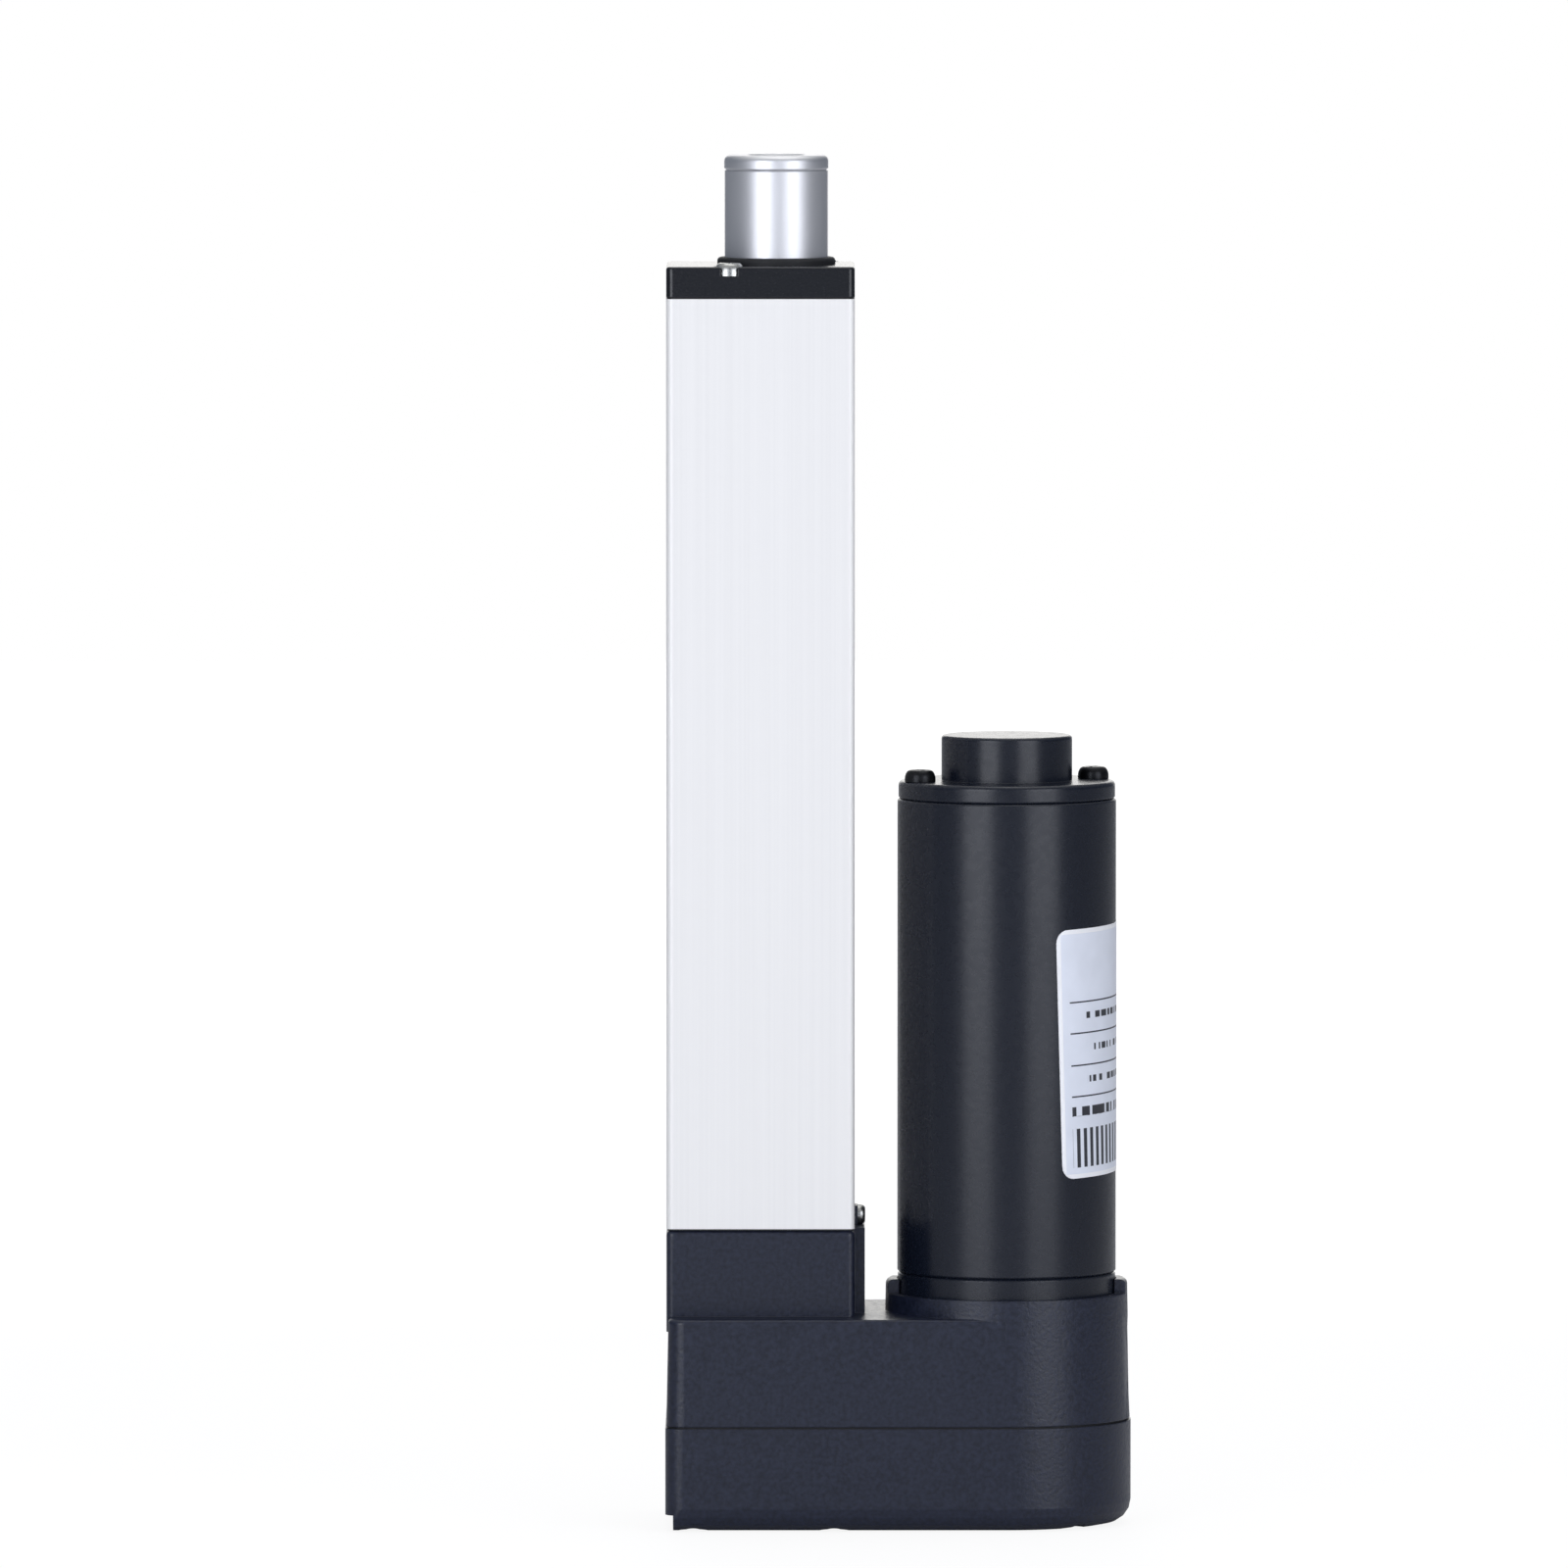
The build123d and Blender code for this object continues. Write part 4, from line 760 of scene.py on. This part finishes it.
class ACTUATOR_OT_tube(Operator):
    """Finishes the extruded tube and the rod"""

    bl_idname = "actuator.tube"
    bl_label = "Tube and rod"

    def execute(self, context):
        colours = settings()[1]
        finish_with(anodised_aluminium(), "outer_tube")
        finish_with(ground_steel("ground_steel", tuple(colours.rod), 0.45, 0.06 * MM), "inner_rod")
        self.make_plug()
        return {"FINISHED"}

    def make_plug(self):
        """Rod end plug with its thread cut in the bore."""
        sizes, colours = settings()
        low, high = node_span("rod_end_plug")
        rod_bore = 7.5 * MM
        band = (high.x - low.x) / 2
        top = high.z
        shoulder = node_span("inner_rod")[1].z
        floor = top - 14 * MM
        drill_point = 1.2 * MM
        bore = 4.25 * MM
        root = bore + 0.62 * sizes.mount_pitch
        mouth = 0.4 * MM
        thread_top = top - mouth
        edge = 0.5 * MM
        rim = 1.2 * MM
        # Width of the flat between a plain rim and the nearest thread.
        skin = 0.15 * MM
        segments = 64
        built = bmesh.new()
        outline = [(0.0, low.z), (rod_bore, low.z), (rod_bore, shoulder),
                   (band - edge, shoulder), (band, shoulder + edge)]
        for step in range(7):
            angle = pi / 2 * step / 6
            outline.append((band - rim + rim * cos(angle), top - rim + rim * sin(angle)))
        outline += [(root + mouth, top), (root + skin, thread_top)]
        lathe_open(built, outline, segments)
        levels = ((0.0, bore), (0.15, bore), (0.5, root), (0.6, root))
        helix_wall(built, sizes.mount_pitch, levels, floor, thread_top, segments)
        lathe_open(built, [(bore - skin, floor), (0.0, floor - drill_point)], segments)
        close_collar(built, thread_top, root, root + skin)
        close_collar(built, floor, bore, bore - skin)
        mesh = into_mesh(built, "rod_end_with_thread", outward=True)
        material = ground_steel("turned_steel", tuple(colours.rod), 0.45, 0.1 * MM)
        piece = new_piece("rod_end_with_thread", mesh, "rod", material)
        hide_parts("rod_end_plug")


class ACTUATOR_OT_motor(Operator):
    """Finishes the motor's outside"""

    bl_idname = "actuator.motor"
    bl_label = "Motor"

    def execute(self, context):
        finish_with(stoved_enamel(), "motor_can", "motor_end_cap", "motor_end_bell")
        return {"FINISHED"}


class ACTUATOR_OT_label(Operator):
    """Makes the sticker that wraps round the motor"""

    bl_idname = "actuator.label"
    bl_label = "Sticker"

    def execute(self, context):
        sizes = settings()[0]
        width, height, corner = sizes.label_width, sizes.label_height, sizes.label_corner
        columns, rows = 48, 40
        built = bmesh.new()
        uv_layer = built.loops.layers.uv.new("UVMap")
        grid, spots = [], {}
        for row in range(rows + 1):
            # Rows crowd towards both ends, where the corners are round.
            share = 0.5 - 0.5 * cos(pi * row / rows)
            y = (share - 0.5) * height
            over = max(0.0, abs(y) - (height / 2 - corner))
            half = width / 2 - corner + sqrt(max(0.0, corner ** 2 - over ** 2))
            line = []
            for column in range(columns + 1):
                x = (2 * column / columns - 1) * half
                vertex = built.verts.new(self.wrap(sizes, x, y))
                spots[vertex] = (x / width + 0.5, y / height + 0.5)
                line.append(vertex)
            grid.append(line)
        for row in range(rows):
            for column in range(columns):
                corners = (grid[row][column], grid[row][column + 1],
                           grid[row + 1][column + 1], grid[row + 1][column])
                face = built.faces.new(corners)
                for loop in face.loops:
                    loop[uv_layer].uv = spots[loop.vert]
        mesh = into_mesh(built, "motor_sticker")
        piece = new_piece("motor_sticker", mesh, "housing", printed_sticker())
        shell = piece.modifiers.new("thickness", "SOLIDIFY")
        shell.thickness = sizes.label_thickness
        shell.offset = -1.0
        return {"FINISHED"}

    def wrap(self, sizes, x, y):
        """A point of the flat sticker on the can, with the tilt it was stuck on at."""
        tilt = sizes.label_tilt
        turned_x = x * cos(tilt) - y * sin(tilt)
        turned_y = x * sin(tilt) + y * cos(tilt)
        radius = CAN_RADIUS + sizes.label_thickness
        angle = sizes.label_start + (turned_x + sizes.label_width / 2) / radius
        middle = sizes.label_foot + sizes.label_height / 2
        return (MOTOR_X + radius * sin(angle), MOTOR_Y - radius * cos(angle), middle + turned_y)


class ACTUATOR_OT_fasteners(Operator):
    """Makes the screws with recesses and threads"""

    bl_idname = "actuator.fasteners"
    bl_label = "Screws"

    def execute(self, context):
        colours = settings()[1]
        zinc = plated_steel("zinc_plated_steel", tuple(colours.zinc), 0.28)
        black = plated_steel("black_oxide_steel", tuple(colours.oxide), 0.32, 0.6)
        # name, CAD node, head up, head radius, head height, shank radius, pitch, material, slot
        kinds = (
            ("head_screws", "head_cap_screws", True, 2.85, 2.5, 1.65, 0.9, zinc, "zinc_screws"),
            ("motor_bolts", "motor_through_bolts", True, 3.0, 2.3, 1.5, 0.8, black, "black_screws"),
            ("housing_screws", "cover_screws", False, 2.8, 2.2, 1.5, 0.8, black, "black_screws"),
            ("collar_screws", "tube_screws", False, 2.8, 2.4, 1.65, 0.9, zinc, "zinc_screws"),
            ("bell_screws", "motor_mount_screws", False, 3.0, 2.3, 1.5, 0.8, zinc, "zinc_screws"),
        )
        for name, node, head_up, head_radius, head_height, radius, pitch, material, slot_name in kinds:
            seats = screw_seats(node, head_up, head_height * MM)
            low, high = node_span(node)
            shank = high.z - low.z - head_height * MM
            head = pan_head(head_radius * MM, head_height * MM)
            single = screw_mesh(head, radius * MM, pitch * MM, shank)
            place_screws(name, node, seats, 0.45, single, material)
        low, high = node_span("tube_lock_screw")
        head_height = 1.5 * MM
        shank = high.x - low.x - head_height
        seat = Vector((high.x - head_height, 0.0, (low.z + high.z) / 2))
        single = screw_mesh(pan_head(2.0 * MM, head_height), 1.1 * MM, 0.6 * MM, shank)
        place_screws("lock_screw", "tube_lock_screw", [(seat, (1, 0, 0))], 0.2, single,
                     zinc)
        return {"FINISHED"}


class ACTUATOR_OT_drive(Operator):
    """Finishes the screw, gears, bearings and nut"""

    bl_idname = "actuator.drive"
    bl_label = "Drive"

    def execute(self, context):
        steel = ground_steel("machined_steel", from_hex("a2a4a8"), 0.3, 0.1 * MM)
        self.make_lead_screw(steel)
        bearing = ground_steel("bearing_steel", from_hex("b4b5b9"), 0.14, 0.05 * MM)
        gear = sintered_metal("sintered_steel", from_hex("85868a"), 0.9, 0.45, 0.25 * MM)
        bronze = sintered_metal("sintered_bronze", from_hex("b5894b"), 0.9, 0.4, 0.25 * MM)
        acetal = plain_moulding("machined_acetal", from_hex("e4e2d8"), 0.36, 2.0 * MM, 1.48)
        finish_with(steel, "rear_mount_insert", "idler_pin", "idler_washers", "wheel_key",
                    "screw_circlips", "upper_bearing_circlip", "nut_pins", "switch_striker",
                    "motor_shaft", "brush_springs")
        for level in ("lower", "upper"):
            finish_with(bearing, f"{level}_bearing_outer_ring", f"{level}_bearing_inner_ring",
                        f"{level}_bearing_balls")
        finish_with(gear, "screw_wheel", "idler_wheel", "idler_pinion", "motor_pinion")
        finish_with(bronze, "idler_bush", "motor_bushes")
        finish_with(acetal, "guide_bush", "drive_nut", "screw_tip_guide")
        return {"FINISHED"}

    def make_lead_screw(self, steel):
        """Trapezoidal screw with its plain journals."""
        sizes = settings()[0]
        low, high = node_span("lead_screw")
        crest = high.x
        root = crest - 0.5 * sizes.screw_pitch
        key_depth = 1.2 * MM
        journal = node_span("wheel_key")[0].x + key_depth
        shoulder = node_span("upper_bearing_inner_ring")[1].z
        top = node_span("screw_tip_guide")[0].z
        bevel = 0.5 * MM
        built = bmesh.new()
        lathe_open(built, [(0.0, low.z), (journal - bevel, low.z), (journal, low.z + bevel),
                           (journal, shoulder)], 48)
        lathe_open(built, [(journal, top), (journal, high.z), (0.0, high.z)], 48)
        levels = ((0.0, crest), (0.37, crest), (0.5, root), (0.87, root))
        helix_wall(built, sizes.screw_pitch, levels, shoulder, top, 32)
        close_level(built, shoulder)
        close_level(built, top)
        mesh = into_mesh(built, "trapezoidal_screw", outward=True)
        piece = new_piece("trapezoidal_screw", mesh, "screw", steel)
        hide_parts("lead_screw")


class ACTUATOR_OT_inner_motor(Operator):
    """Finishes the motor's inner pieces and the limit switches"""

    bl_idname = "actuator.inner_motor"
    bl_label = "Inner motor"

    def execute(self, context):
        finish_with(stacked_laminations(), "armature_core")
        finish_with(enamelled_wire(), "armature_windings")
        finish_with(ground_steel("drawn_copper", from_hex("c77f56"), 0.3, 0.2 * MM), "commutator")
        ferrite = sintered_metal("sintered_ferrite", from_hex("3a3a3d"), 0.1, 0.6, 0.4 * MM)
        finish_with(ferrite, "motor_magnets")
        phenolic = plain_moulding("phenolic_board", from_hex("6b4326"), 0.5, 0.8 * MM)
        finish_with(phenolic, "brush_holder")
        carbon = sintered_metal("pressed_carbon", from_hex("26262a"), 0.2, 0.55, 0.3 * MM)
        finish_with(carbon, "brushes")
        finish_with(circuit_board(), "limit_switch_board")
        switch = plain_moulding("switch_plastic", from_hex("1b1b1e"), 0.45, 0.6 * MM)
        finish_with(switch, "limit_switches")
        return {"FINISHED"}


class ACTUATOR_PT_panel(Panel):
    """Lists the actuator's operators"""

    bl_label = "Actuator"
    bl_idname = "ACTUATOR_PT_panel"
    bl_space_type = "VIEW_3D"
    bl_region_type = "UI"
    bl_category = "Actuator"

    def draw(self, context):
        for operator in STEPS:
            self.layout.operator(operator.bl_idname)
        for group in (context.scene.actuator_sizes, context.scene.actuator_colours):
            for key in group.bl_rna.properties.keys():
                if key not in ("rna_type", "name"):
                    self.layout.prop(group, key)


STEPS = (
    ACTUATOR_OT_stage,
    ACTUATOR_OT_housing,
    ACTUATOR_OT_tube,
    ACTUATOR_OT_motor,
    ACTUATOR_OT_label,
    ACTUATOR_OT_fasteners,
    ACTUATOR_OT_drive,
    ACTUATOR_OT_inner_motor,
)
CLASSES = (ActuatorSizes, ActuatorColours, *STEPS, ACTUATOR_PT_panel)


def register():
    """Registers the classes and hangs the settings on the scene."""
    for item in CLASSES:
        bpy.utils.register_class(item)
    bpy.types.Scene.actuator_sizes = PointerProperty(type=ActuatorSizes)
    bpy.types.Scene.actuator_colours = PointerProperty(type=ActuatorColours)


def unregister():
    """Takes the settings and classes away again."""
    del bpy.types.Scene.actuator_sizes
    del bpy.types.Scene.actuator_colours
    for item in reversed(CLASSES):
        bpy.utils.unregister_class(item)


def main():
    """Runs every step."""
    register()
    for operator in STEPS:
        group, name = operator.bl_idname.split(".")
        getattr(getattr(bpy.ops, group), name)()


if __name__ == "__main__":
    main()
